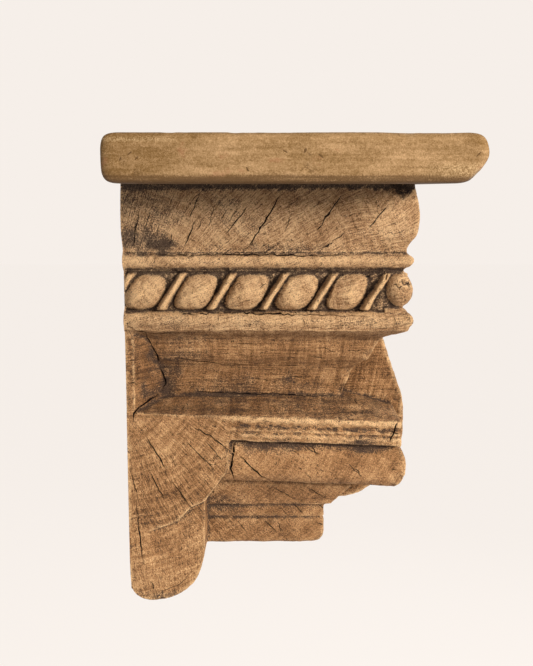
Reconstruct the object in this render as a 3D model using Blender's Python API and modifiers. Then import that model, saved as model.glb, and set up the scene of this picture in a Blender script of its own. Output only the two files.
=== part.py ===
"""Wooden corbel shelf: a carved hardwood corbel, flat at the wall, under a plain rounded board.

Frame: X runs out from the wall, Y along it and Z up. The wall is the plane X = 0 and the origin is
the fixing point on the corbel's flat back. A drop is a depth below the corbel's top, and a setback
is a depth behind the corbel's furthest front or side. All sizes are in metres.
"""

from math import atan2, cos, hypot, pi, sin

import bmesh
import bpy
from mathutils import Matrix, Vector

# Where the wall fixing sits, and the gap between the two pieces
FIXING_DROP = 0.0826
SEAT_GAP = 0.0003

# Board
BOARD_DEPTH = 0.254
BOARD_LENGTH = 0.402
BOARD_THICKNESS = 0.033
BOARD_BACK_RADIUS = 0.006
BOARD_FRONT_RADIUS = 0.010
BOARD_CHAMFER_OUT = 0.010
BOARD_CHAMFER_UP = 0.0138
BOARD_END_BEVEL = 0.004

# Corbel, overall
CORBEL_DEPTH = 0.2225
CORBEL_WIDTH = 0.234

# Heights of the mouldings, from the top down
FRIEZE_HEIGHT = 0.0496
UPPER_BEAD_HEIGHT = 0.014
BAND_HEIGHT = 0.031
LOWER_BEAD_HEIGHT = 0.0153
UNDERCUT_HEIGHT = 0.0597
LEDGE_HEIGHT = 0.009
FILLET_HEIGHT = 0.020
CUSHION_HEIGHT = 0.036
COVE_HEIGHT = 0.025
BLOCK_HEIGHT = 0.033

# Setbacks of the mouldings, shared by the front and both sides
FRIEZE_SETBACK = 0.008
UPPER_BEAD_SETBACK = 0.0025
BAND_SETBACK = 0.0105
BAND_STEP = 0.001
LOWER_BEAD_SETBACK = 0.0026
FILLET_SETBACK = 0.009
FILLET_GROOVE = 0.0018

# Neck, cushion and bottom block, measured across the corbel
NECK_DEPTH = 0.1705
NECK_WIDTH = 0.137
CUSHION_FRONT_SETBACK = 0.0052
CUSHION_SIDE_SETBACK = 0.0112
CUSHION_CREASE = 0.006
COVE_FRONT_SETBACK = 0.0455
COVE_SIDE_SETBACK = 0.029
BLOCK_DEPTH = 0.1555
BLOCK_WIDTH = 0.154
BLOCK_FRONT_RADIUS = 0.011
BLOCK_SIDE_RADIUS = 0.004
BLOCK_GROOVE = 0.0015

# The ledge, the fillet and the cushion run downhill from the wall to the front by this much
LEDGE_FALL = 0.008

# Pearls and slanted bars in the band
SIDE_PEARLS = 5
FRONT_PEARLS = 5
FIRST_PEARL_INSET = 0.016
CORNER_PEARL_INSET = 0.002
PEARL_RISE = 0.006
CORNER_PEARL_RADIUS = 0.0105
CORNER_PEARL_RISE = 0.0086
BAR_WIDTH = 0.005
BAR_RISE = 0.0045
BAR_LEAN = 0.016
FRONT_BAR_LEAN = 0.011
PEARL_SEGMENTS = 16
PEARL_RINGS = 10

# Jamb that closes the undercut at the wall
JAMB_DEPTH = 0.0064
JAMB_ROOT_DEPTH = 0.031

# Back slab and its foot
SLAB_SETBACK = 0.0088
SLAB_DEPTH = 0.0797
SLAB_WAIST_DEPTH = 0.0604
SLAB_WAIST_DROP = 0.0486
FOOT_HEIGHT = 0.132
FOOT_SETBACK = 0.0130
FOOT_ROUND = 0.006

# Console in the middle of the front
CONSOLE_WIDTH = 0.090
CONSOLE_REACH = 0.224
CONSOLE_BACK = 0.150
CONSOLE_ROUND = 0.008

# The console ends a little below the cove, by this share of the cove's height
CONSOLE_PAST_COVE = 0.15

# The outlines that are cut with each other run past the corbel by this share of its size
TRIM_MARGIN = 0.05

CURVE_STEPS = 4
ARC_STEPS = 6

# Drops that follow from the heights
BEAD_TOP = FRIEZE_HEIGHT
BAND_TOP = BEAD_TOP + UPPER_BEAD_HEIGHT
LOWER_BEAD_TOP = BAND_TOP + BAND_HEIGHT
UNDERCUT_TOP = LOWER_BEAD_TOP + LOWER_BEAD_HEIGHT
NECK_CREASE = UNDERCUT_TOP + UNDERCUT_HEIGHT
LEDGE_EDGE = NECK_CREASE + LEDGE_HEIGHT
CUSHION_TOP = LEDGE_EDGE + FILLET_HEIGHT
SOFFIT = CUSHION_TOP + CUSHION_HEIGHT
BLOCK_TOP = SOFFIT + COVE_HEIGHT
BLOCK_FOOT = BLOCK_TOP + BLOCK_HEIGHT
CORBEL_HALF = CORBEL_WIDTH / 2
BOARD_UNDERSIDE = FIXING_DROP + SEAT_GAP


def clear_scene():
    """Remove every object, so that the model starts from nothing."""
    for item in list(bpy.data.objects):
        bpy.data.objects.remove(item, do_unlink=True)


def new_collection(name, hidden=False):
    """Make a collection in the scene and return it."""
    collection = bpy.data.collections.new(name)
    bpy.context.scene.collection.children.link(collection)
    collection.hide_render = hidden
    return collection


def wood(name, color, roughness):
    """Make a plain wood material."""
    material = bpy.data.materials.new(name)
    material.use_nodes = True
    shader = material.node_tree.nodes["Principled BSDF"]
    shader.inputs["Base Color"].default_value = (*color, 1.0)
    shader.inputs["Roughness"].default_value = roughness
    shader.inputs["Metallic"].default_value = 0.0
    return material


def height(drop):
    """Turn a drop below the corbel's top into a height above the origin."""
    return FIXING_DROP - drop


def smooth_run(points, steps=CURVE_STEPS):
    """Return points along a smooth curve through the given ones, both ends included."""
    run = []
    last = len(points) - 1
    for index in range(last):
        before = Vector(points[max(index - 1, 0)])
        start = Vector(points[index])
        end = Vector(points[index + 1])
        after = Vector(points[min(index + 2, last)])
        for step in range(steps):
            t = step / steps
            pull = (end - before) * (t - 2 * t**2 + t**3) / 2
            push = (after - start) * (t**3 - t**2) / 2
            blend = 3 * t**2 - 2 * t**3
            run.append(tuple(start.lerp(end, blend) + pull + push))
    run.append(tuple(points[last]))
    return run


def bead(top, depth, edge, crown, steps=ARC_STEPS):
    """Return a half-round bead as (setback, drop) pairs, from its upper edge to its lower one."""
    run = []
    for step in range(steps + 1):
        share = step / steps
        run.append((edge - (edge - crown) * sin(pi * share), top + depth * share))
    return run


def quarter(center, radius, start, end, steps=ARC_STEPS):
    """Return an arc of a circle as points, from one angle to another."""
    run = []
    for step in range(steps + 1):
        angle = start + (end - start) * step / steps
        run.append((center[0] + radius * cos(angle), center[1] + radius * sin(angle)))
    return run


def frieze_run():
    """Return the swelling frieze under the board as (setback, drop) pairs."""
    shares = ((0.55, 0.0), (0.14, 0.26), (0.0, 0.52), (0.16, 0.74), (0.7, 0.88), (1.0, 0.985))
    points = [(FRIEZE_SETBACK * out, FRIEZE_HEIGHT * down) for out, down in shares]
    return smooth_run(points)


def undercut_run(neck_setback):
    """Return the two hollows that lead in from the lower bead to the neck."""
    lip = LOWER_BEAD_SETBACK + LOWER_BEAD_HEIGHT * 0.2
    reach = neck_setback - lip
    upper = ((0.0, 0.0), (0.17, 0.065), (0.34, 0.115), (0.43, 0.17), (0.52, 0.30), (0.60, 0.447))
    lower = ((0.66, 0.47), (0.80, 0.556), (0.88, 0.68), (0.935, 0.83), (1.0, 1.0))
    points = []
    for out, down in upper + lower:
        points.append((lip + reach * out, UNDERCUT_TOP + UNDERCUT_HEIGHT * down))
    return points


def fillet_run():
    """Return the fillet over the cushion, with the groove that parts its two strips."""
    groove_top = LEDGE_EDGE + FILLET_HEIGHT * 0.55
    groove_foot = LEDGE_EDGE + FILLET_HEIGHT * 0.72
    return [
        (FILLET_SETBACK, LEDGE_EDGE),
        (FILLET_SETBACK, groove_top),
        (FILLET_SETBACK + FILLET_GROOVE, (groove_top + groove_foot) / 2),
        (FILLET_SETBACK, groove_foot),
        (FILLET_SETBACK, CUSHION_TOP),
    ]


def cushion_run(face_setback):
    """Return the cushion's swelling face and its rounded lower edge."""
    shares = ((1.0, 0.01), (0.25, 0.18), (0.0, 0.36), (0.04, 0.6), (0.35, 0.82), (1.2, 0.975))
    points = []
    for inward, down in shares:
        points.append((face_setback + CUSHION_CREASE * inward, CUSHION_TOP + CUSHION_HEIGHT * down))
    return smooth_run(points, 3)


def cove_run(cove_setback, block_setback):
    """Return the slanted cove between the cushion's soffit and the bottom block."""
    reach = block_setback - cove_setback
    shares = ((0.0, 0.0), (0.0, 0.2), (0.42, 0.6), (0.72, 0.94), (1.0, 1.0))
    return [(cove_setback + reach * inward, SOFFIT + COVE_HEIGHT * down) for inward, down in shares]


def block_run(block_setback, radius):
    """Return the bottom block's face, with its shallow grooves and its rounded lower edge."""
    groove = BLOCK_TOP + BLOCK_HEIGHT * 0.33
    half = BLOCK_HEIGHT * 0.06
    center = (block_setback + radius, BLOCK_FOOT - radius)
    run = [
        (block_setback, groove - half),
        (block_setback + BLOCK_GROOVE, groove),
        (block_setback, groove + half),
    ]
    return run + quarter(center, radius, pi, pi / 2)


def moulding(neck, cushion, cove, block, block_radius):
    """Return one face's moulding from the top to the underside as (setback, drop) pairs."""
    run = frieze_run()
    run += bead(BEAD_TOP, UPPER_BEAD_HEIGHT, FRIEZE_SETBACK, UPPER_BEAD_SETBACK)
    run += [(BAND_SETBACK, BAND_TOP + BAND_STEP), (BAND_SETBACK, LOWER_BEAD_TOP - BAND_STEP)]
    run += bead(LOWER_BEAD_TOP, LOWER_BEAD_HEIGHT, FRIEZE_SETBACK, LOWER_BEAD_SETBACK)[:-1]
    run += undercut_run(neck)
    run += fillet_run()
    run += cushion_run(cushion)
    run += cove_run(cove, block)
    run += block_run(block, block_radius)
    return run


def extruded(name, outline, length, matrix, collection):
    """Make a solid from a flat outline, drawn in XY and extruded half its length to each side.

    The mesh itself is turned by the matrix, so that neighbours meet on exactly the same planes.
    """
    data = bpy.data.curves.new(name, "CURVE")
    data.dimensions = "2D"
    data.fill_mode = "BOTH"
    data.extrude = length / 2
    spline = data.splines.new("POLY")
    spline.points.add(len(outline) - 1)
    for point, place in zip(spline.points, outline):
        point.co = (place[0], place[1], 0.0, 1.0)
    spline.use_cyclic_u = True
    curve = bpy.data.objects.new(name + "_outline", data)
    bpy.context.scene.collection.objects.link(curve)
    bpy.context.view_layer.update()
    evaluated = curve.evaluated_get(bpy.context.evaluated_depsgraph_get())
    mesh = bpy.data.meshes.new_from_object(evaluated)
    mesh.name = name
    work = bmesh.new()
    work.from_mesh(mesh)
    bmesh.ops.remove_doubles(work, verts=work.verts, dist=0.00001)
    bmesh.ops.recalc_face_normals(work, faces=work.faces)
    work.transform(matrix)
    work.to_mesh(mesh)
    work.free()
    solid = bpy.data.objects.new(name, mesh)
    solid.matrix_world = curve.matrix_world.copy()
    collection.objects.link(solid)
    bpy.data.objects.remove(curve, do_unlink=True)
    return solid


def seen_from_side():
    """Return the matrix for an outline of (X, Z) points that is extruded along Y."""
    return Matrix(((1, 0, 0, 0), (0, 0, -1, 0), (0, 1, 0, 0), (0, 0, 0, 1)))


def seen_from_front(middle):
    """Return the matrix for an outline of (Y, Z) points, extruded along X about a middle plane."""
    return Matrix(((0, 0, 1, middle), (1, 0, 0, 0), (0, 1, 0, 0), (0, 0, 0, 1)))


def as_tool(item):
    """Show an object as a wire tool that takes no part in the finished model."""
    item.hide_render = True
    item.display_type = "WIRE"
    return item


def combine(target, tool, operation):
    """Add an EXACT Boolean of one object by another."""
    modifier = target.modifiers.new(tool.name, "BOOLEAN")
    modifier.operation = operation
    modifier.solver = "EXACT"
    modifier.object = as_tool(tool)


def rounded(item, width, segments, angle):
    """Round an object's edges that are sharper than the angle."""
    modifier = item.modifiers.new("rounding", "BEVEL")
    modifier.width = width
    modifier.segments = segments
    modifier.limit_method = "ANGLE"
    modifier.angle_limit = angle
    modifier.use_clamp_overlap = True


def moulded_body(collection, tools):
    """Make the mitred block: a side outline met by a front outline."""
    front = moulding(
        neck=CORBEL_DEPTH - NECK_DEPTH,
        cushion=CUSHION_FRONT_SETBACK,
        cove=COVE_FRONT_SETBACK,
        block=CORBEL_DEPTH - BLOCK_DEPTH,
        block_radius=BLOCK_FRONT_RADIUS,
    )
    side = moulding(
        neck=CORBEL_HALF - NECK_WIDTH / 2,
        cushion=CUSHION_SIDE_SETBACK,
        cove=COVE_SIDE_SETBACK,
        block=CORBEL_HALF - BLOCK_WIDTH / 2,
        block_radius=BLOCK_SIDE_RADIUS,
    )
    across = [(CORBEL_DEPTH - setback, height(drop)) for setback, drop in front]
    across += [(0.0, height(BLOCK_FOOT)), (0.0, height(0.0))]
    stock = CORBEL_WIDTH * (1 + 2 * TRIM_MARGIN)
    body = extruded("carved_corbel", across, stock, seen_from_side(), collection)
    side = [(side[0][0], -CORBEL_HALF)] + side + [(side[-1][0], BLOCK_FOOT + CORBEL_HALF)]
    near = [(setback - CORBEL_HALF, height(drop)) for setback, drop in side]
    far = [(CORBEL_HALF - setback, height(drop)) for setback, drop in reversed(side)]
    reach = CORBEL_DEPTH * (1 + 2 * TRIM_MARGIN)
    frame = seen_from_front(reach / 2 - CORBEL_DEPTH * TRIM_MARGIN)
    trim = extruded("front_trim", near + far, reach, frame, tools)
    combine(body, trim, "INTERSECT")
    return body


def slab_edge():
    """Return the slab's curved front edge as (depth, drop) pairs, from the fillet to its waist."""
    step = SLAB_DEPTH - SLAB_WAIST_DEPTH
    shares = ((1.0, 0.0), (0.93, 0.47), (0.68, 0.64), (0.3, 0.84), (0.0, 1.0))
    points = [(SLAB_WAIST_DEPTH + step * out, CUSHION_TOP + SLAB_WAIST_DROP * down) for out, down in shares]
    return smooth_run(points, 3)


def slab(tools):
    """Make the flat slab against the wall, which ends in an arc over the foot."""
    waist = CUSHION_TOP + SLAB_WAIST_DROP
    rise = FOOT_HEIGHT - SLAB_WAIST_DROP
    shares = ((1.0, 0.01), (0.81, 0.06), (0.64, 0.18), (0.43, 0.24), (0.2, 0.30), (0.0, 0.35))
    arc = smooth_run([(SLAB_WAIST_DEPTH * out, waist + rise * down) for out, down in shares], 2)
    outline = [(0.0, LEDGE_EDGE), (SLAB_DEPTH, LEDGE_EDGE)] + slab_edge() + arc[1:]
    places = [(depth, height(drop)) for depth, drop in outline]
    width = CORBEL_WIDTH - 2 * SLAB_SETBACK
    return extruded("back_slab", places, width, seen_from_side(), tools)


def foot(tools):
    """Make the rounded foot that hangs below the slab."""
    waist = CUSHION_TOP + SLAB_WAIST_DROP
    rise = FOOT_HEIGHT - SLAB_WAIST_DROP
    side = ((1.0, -0.06), (0.985, 0.42), (0.96, 0.60), (0.90, 0.74), (0.81, 0.83))
    toe = ((0.67, 0.92), (0.47, 0.985), (0.24, 1.0), (0.10, 0.965), (0.02, 0.90), (0.0, 0.80))
    points = [(SLAB_WAIST_DEPTH * out, waist + rise * down) for out, down in side + toe]
    outline = [(0.0, waist - rise * 0.06)] + smooth_run(points, 3)
    places = [(depth, height(drop)) for depth, drop in outline]
    width = CORBEL_WIDTH - 2 * FOOT_SETBACK
    item = extruded("foot", places, width, seen_from_side(), tools)
    rounded(item, FOOT_ROUND, 3, pi / 3)
    return item


def jamb(tools):
    """Make the jamb whose slanted faces close the undercut at the wall."""
    outer = CORBEL_HALF - FILLET_SETBACK
    inner = NECK_WIDTH / 2 - LEDGE_HEIGHT / 2
    outline = [
        (0.0, -outer),
        (JAMB_DEPTH, -outer),
        (JAMB_ROOT_DEPTH, -inner),
        (JAMB_ROOT_DEPTH, inner),
        (JAMB_DEPTH, outer),
        (0.0, outer),
    ]
    top = LOWER_BEAD_TOP + LOWER_BEAD_HEIGHT / 2
    foot_drop = LEDGE_EDGE + FILLET_HEIGHT / 2
    middle = Matrix.Translation((0.0, 0.0, height((top + foot_drop) / 2)))
    return extruded("jamb", outline, foot_drop - top, middle, tools)


def console(tools):
    """Make the console that swells down the middle of the front."""
    top = LOWER_BEAD_TOP + LOWER_BEAD_HEIGHT / 2
    tall = SOFFIT + COVE_HEIGHT * (1 + CONSOLE_PAST_COVE) - top
    reach = CONSOLE_REACH - CONSOLE_BACK
    shares = (
        (0.66, 0.0),
        (0.73, 0.12),
        (0.85, 0.29),
        (0.95, 0.41),
        (0.99, 0.48),
        (1.0, 0.60),
        (0.97, 0.74),
        (0.84, 0.86),
        (0.62, 0.94),
        (0.50, 0.98),
        (0.36, 1.0),
    )
    front = smooth_run([(CONSOLE_BACK + reach * out, top + tall * down) for out, down in shares], 2)
    outline = [(CONSOLE_BACK, top)] + front + [(CONSOLE_BACK, top + tall)]
    places = [(depth, height(drop)) for depth, drop in outline]
    item = extruded("console", places, CONSOLE_WIDTH, seen_from_side(), tools)
    rounded(item, CONSOLE_ROUND, 3, pi / 3)
    return item


def pearl(name, center, radii, tools):
    """Make one pearl as a squashed ball."""
    mesh = bpy.data.meshes.new(name)
    work = bmesh.new()
    bmesh.ops.create_uvsphere(work, u_segments=PEARL_SEGMENTS, v_segments=PEARL_RINGS, radius=1.0)
    bmesh.ops.scale(work, verts=work.verts, vec=radii)
    work.to_mesh(mesh)
    work.free()
    item = bpy.data.objects.new(name, mesh)
    item.location = center
    tools.objects.link(item)
    return item


def bar(name, center, turn, lean, tools):
    """Make one slanted bar, whose top leans along its face by the lean."""
    mesh = bpy.data.meshes.new(name)
    work = bmesh.new()
    bmesh.ops.create_cube(work, size=1.0)
    length = hypot(BAND_HEIGHT, BAR_LEAN)
    bmesh.ops.scale(work, verts=work.verts, vec=(BAR_WIDTH, BAR_RISE * 2, length))
    bmesh.ops.rotate(work, verts=work.verts, matrix=Matrix.Rotation(atan2(lean, BAND_HEIGHT), 3, "Y"))
    bmesh.ops.rotate(work, verts=work.verts, matrix=Matrix.Rotation(turn, 3, "Z"))
    work.to_mesh(mesh)
    work.free()
    item = bpy.data.objects.new(name, mesh)
    item.location = center
    tools.objects.link(item)
    rounded(item, BAR_WIDTH * 0.35, 2, pi / 4)
    return item


def band_ornament(tools):
    """Make the pearls and slanted bars on the front and both sides."""
    level = height(BAND_TOP + BAND_HEIGHT / 2)
    front = CORBEL_DEPTH - BAND_SETBACK
    side = CORBEL_HALF - BAND_SETBACK
    tall = BAND_HEIGHT * 0.42
    side_pitch = (front - CORNER_PEARL_INSET - FIRST_PEARL_INSET) / SIDE_PEARLS
    front_pitch = 2 * (side - CORNER_PEARL_INSET) / (FRONT_PEARLS + 1)
    side_radii = (side_pitch * 0.36, PEARL_RISE, tall)
    front_radii = (PEARL_RISE, front_pitch * 0.36, tall)
    inset = CORNER_PEARL_RADIUS - CORNER_PEARL_RISE
    pieces = []
    for sign, word in ((-1, "near"), (1, "far")):
        for index in range(SIDE_PEARLS):
            place = FIRST_PEARL_INSET + side_pitch * index
            pieces.append(pearl(f"{word}_pearl_{index}", (place, sign * side, level), side_radii, tools))
            midway = (place + side_pitch / 2, sign * side, level)
            pieces.append(bar(f"{word}_bar_{index}", midway, 0.0, BAR_LEAN, tools))
        corner = (front - inset, sign * (side - inset), level)
        ball = (CORNER_PEARL_RADIUS, CORNER_PEARL_RADIUS, tall)
        pieces.append(pearl(f"{word}_corner_pearl", corner, ball, tools))
    for index in range(FRONT_PEARLS):
        place = front_pitch * (index - (FRONT_PEARLS - 1) / 2)
        pieces.append(pearl(f"front_pearl_{index}", (front, place, level), front_radii, tools))
    for index in range(FRONT_PEARLS + 1):
        place = front_pitch * (index - FRONT_PEARLS / 2)
        lean = FRONT_BAR_LEAN if place > 0 else -FRONT_BAR_LEAN
        pieces.append(bar(f"front_bar_{index}", (front, place, level), pi / 2, lean, tools))
    return pieces


def run_ledge_downhill(work):
    """Lower the ledge, the fillet and the cushion towards the front, as the carver left them."""
    for vertex in work.verts:
        drop = FIXING_DROP - vertex.co.z
        into_ledge = (drop - NECK_CREASE) / LEDGE_HEIGHT
        past_cushion = (drop - SOFFIT) / COVE_HEIGHT
        weight = max(0.0, min(1.0, into_ledge, 1.0 - past_cushion))
        vertex.co.z -= LEDGE_FALL * (vertex.co.x / CORBEL_DEPTH - 0.5) * weight


def carved_corbel(collection, tools, material):
    """Make the corbel, one solid with all its carving."""
    body = moulded_body(collection, tools)
    for piece in [slab(tools), foot(tools), jamb(tools), console(tools)] + band_ornament(tools):
        combine(body, piece, "UNION")
    bpy.context.view_layer.update()
    evaluated = body.evaluated_get(bpy.context.evaluated_depsgraph_get())
    mesh = bpy.data.meshes.new_from_object(evaluated)
    body.modifiers.clear()
    work = bmesh.new()
    work.from_mesh(mesh)
    work.transform(body.matrix_world)
    bmesh.ops.triangulate(work, faces=work.faces)
    run_ledge_downhill(work)
    work.to_mesh(mesh)
    work.free()
    body.data = mesh
    body.matrix_world = Matrix.Identity(4)
    body.data.materials.clear()
    body.data.materials.append(material)
    body.data.set_sharp_from_angle(angle=pi / 6)
    return body


def shelf_board(collection, material):
    """Make the board, rounded at the back and chamfered under its front edge."""
    top = BOARD_UNDERSIDE + BOARD_THICKNESS
    back = BOARD_BACK_RADIUS
    nose = BOARD_FRONT_RADIUS
    outline = quarter((back, BOARD_UNDERSIDE + back), back, pi * 1.5, pi)
    outline += quarter((back, top - back), back, pi, pi / 2)
    outline += quarter((BOARD_DEPTH - nose, top - nose), nose, pi / 2, 0.0)
    hip = BOARD_UNDERSIDE + BOARD_CHAMFER_UP
    under = [
        (BOARD_DEPTH, hip + BOARD_CHAMFER_UP * 0.2),
        (BOARD_DEPTH - BOARD_CHAMFER_OUT * 0.15, hip),
        (BOARD_DEPTH - BOARD_CHAMFER_OUT, BOARD_UNDERSIDE + BOARD_CHAMFER_UP * 0.2),
        (BOARD_DEPTH - BOARD_CHAMFER_OUT * 1.7, BOARD_UNDERSIDE),
    ]
    outline += smooth_run(under, 3)
    board = extruded("shelf_board", outline, BOARD_LENGTH, seen_from_side(), collection)
    rounded(board, BOARD_END_BEVEL, 2, pi * 0.4)
    board.data.materials.append(material)
    board.data.set_sharp_from_angle(angle=pi / 6)
    return board


def main():
    """Build the shelf board and the carved corbel."""
    clear_scene()
    shelf = new_collection("wooden_corbel_shelf")
    tools = new_collection("carving_tools", hidden=True)
    carved_corbel(shelf, tools, wood("carved hardwood", (0.30, 0.165, 0.075), 0.72))
    shelf_board(shelf, wood("board wood", (0.36, 0.235, 0.115), 0.62))
    bpy.context.view_layer.update()


main()
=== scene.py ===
"""Dresses the wooden corbel shelf: an old carved corbel and the plain board that it carries.

X runs out from the wall, Y along it and Z up, in metres. A drop is a depth below the corbel's top.
The near side is the one at -Y, which the camera faces. The wood's grain runs along Y, so both sides
show end grain: rings and radial cracks round a pith that lies just behind the wall plane.
"""

import logging
import math
from dataclasses import dataclass, field
from enum import Enum

import bmesh
import bpy
import numpy as np
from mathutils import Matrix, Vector
from mathutils.bvhtree import BVHTree
from mathutils.kdtree import KDTree


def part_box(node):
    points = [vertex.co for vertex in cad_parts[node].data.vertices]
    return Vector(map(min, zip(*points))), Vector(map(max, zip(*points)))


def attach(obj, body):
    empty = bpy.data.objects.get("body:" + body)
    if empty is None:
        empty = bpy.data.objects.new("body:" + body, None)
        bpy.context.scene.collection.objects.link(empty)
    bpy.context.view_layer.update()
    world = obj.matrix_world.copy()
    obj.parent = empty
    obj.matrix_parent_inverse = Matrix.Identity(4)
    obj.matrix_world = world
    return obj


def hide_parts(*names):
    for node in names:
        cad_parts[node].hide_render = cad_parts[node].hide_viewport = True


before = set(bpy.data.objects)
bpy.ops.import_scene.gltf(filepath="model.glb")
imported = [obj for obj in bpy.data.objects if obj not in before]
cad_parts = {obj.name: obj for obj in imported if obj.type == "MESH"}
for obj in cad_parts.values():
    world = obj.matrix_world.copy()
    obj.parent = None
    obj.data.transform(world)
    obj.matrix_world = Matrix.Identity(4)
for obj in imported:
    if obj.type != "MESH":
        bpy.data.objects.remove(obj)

logging.basicConfig(level=logging.INFO, format="%(message)s")
log = logging.getLogger("corbel_shelf")

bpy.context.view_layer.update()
MM = 0.001

Colour = tuple[float, float, float]
Place = tuple[float, float]


class Side(Enum):
    """A carved face of the corbel, by the sign of its outward Y, or zero for the front."""

    NEAR = -1
    FRONT = 0
    FAR = 1


@dataclass(frozen=True)
class Crack:
    """A drying crack on a side, as a run of (x, drop) points in millimetres."""

    run: tuple[Place, ...]
    width: float = 0.7
    depth: float = 4.0
    crease: bool = False


@dataclass(frozen=True)
class Groove:
    """A groove along the sides and the front: its drop, half height and depth in millimetres.

    It starts so far out on the sides, is more or less rough, and falls with the ledge or not.
    """

    drop: float
    half: float
    depth: float
    start: float = -5.0
    rough: float = 0.3
    falls: bool = False


@dataclass(frozen=True)
class Chip:
    """A bite out of the wood: its centre (x, y, drop), radius and depth in millimetres."""

    x: float
    y: float
    drop: float
    radius: float
    depth: float
    dark: bool = False


@dataclass(frozen=True)
class Ridge:
    """A raised lip on both sides, rubbed and painted with a highlight: its run of (x, drop), half width and rise in
    millimetres.
    """

    run: tuple[Place, ...]
    half: float
    rise: float


@dataclass(frozen=True)
class Patch:
    """A dark patch on both sides, patina in some places and painted shade in others: its centre (x, drop), half sizes
    and strength, in millimetres.
    """

    x: float
    drop: float
    half_x: float
    half_drop: float
    strength: float


@dataclass(frozen=True)
class Spot:
    """A small cut on the board's end: its place (x, height), half sizes in millimetres and turn in degrees."""

    x: float
    height: float
    half_x: float
    half_z: float
    turn: float


@dataclass(frozen=True)
class Mouldings:
    """Drops and faces of the corbel's mouldings, as its solid has them."""

    frieze_foot: float = 0.0496
    band_top: float = 0.0636
    band_foot: float = 0.0946
    bead_foot: float = 0.1099
    neck: float = 0.1696
    ledge_edge: float = 0.1786
    cushion_top: float = 0.1986
    soffit: float = 0.2346
    block_top: float = 0.2596
    block_foot: float = 0.2926
    half_width: float = 0.117
    front: float = 0.2225
    band_setback: float = 0.0105
    slab_setback: float = 0.0088
    slab_depth: float = 0.0797
    ledge_fall: float = 0.008


def lattice_noise(places: np.ndarray, cell: float | tuple[float, float, float], seed: int) -> np.ndarray:
    """Smooth noise on a lattice.

    Args:
        places: points, one row each.
        cell: the lattice's spacing in metres, the same all ways or one for each axis.
        seed: picks another pattern.

    Returns:
        One value between -1 and 1 for each point.
    """
    grid = places / np.asarray(cell, dtype=float) + seed * 13.7
    base = np.floor(grid).astype(np.int64)
    part = grid - base
    blend = part**3 * (part * (part * 6 - 15) + 10)
    total = np.zeros(len(places))
    for corner in range(8):
        step = np.array([(corner >> axis) & 1 for axis in range(3)])
        keys = base + step
        mixed = keys[:, 0] * 73856093 ^ keys[:, 1] * 19349663 ^ keys[:, 2] * 83492791 ^ seed * 2971215073
        mixed = (mixed ^ (mixed >> 13)) * 1274126177 & 0xFFFFFFFF
        value = ((mixed >> 7) & 0xFFFF) / 32767.5 - 1.0
        weight = np.prod(np.where(step == 1, blend, 1.0 - blend), axis=1)
        total += value * weight
    return total


def ease(values: np.ndarray, low: float, high: float) -> np.ndarray:
    """Turn values into an even rise from 0 at low to 1 at high, eased at both ends."""
    share = np.clip((values - low) / (high - low), 0.0, 1.0)
    return share * share * (3.0 - 2.0 * share)


def deselect_all() -> None:
    """Leave object mode with nothing selected."""
    if bpy.context.object and bpy.context.object.mode != "OBJECT":
        bpy.ops.object.mode_set(mode="OBJECT")
    bpy.ops.object.select_all(action="DESELECT")


def pick(item: bpy.types.Object) -> None:
    """Select one object alone and make it the active one."""
    deselect_all()
    item.select_set(True)
    bpy.context.view_layer.objects.active = item


def apply_modifier(item: bpy.types.Object, kind: str, **settings: object) -> None:
    """Add a modifier with the given settings and apply it."""
    pick(item)
    modifier = item.modifiers.new(kind.lower(), kind)
    for name, value in settings.items():
        setattr(modifier, name, value)
    bpy.ops.object.modifier_apply(modifier=modifier.name)


def merged_copy(node: str, name: str) -> bpy.types.Object:
    """Copy a node of the frame as a new object, with its loose triangles merged.

    Args:
        node: the node's name.
        name: the new object's name.

    Returns:
        The new object, at the origin.
    """
    item = bpy.data.objects.new(name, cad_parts[node].data.copy())
    item.data.name = name
    item.data.materials.clear()
    bpy.context.scene.collection.objects.link(item)
    pick(item)
    bpy.ops.object.mode_set(mode="EDIT")
    bpy.ops.mesh.select_all(action="SELECT")
    bpy.ops.mesh.remove_doubles(threshold=0.00001)
    bpy.ops.object.mode_set(mode="OBJECT")
    return item


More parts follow.
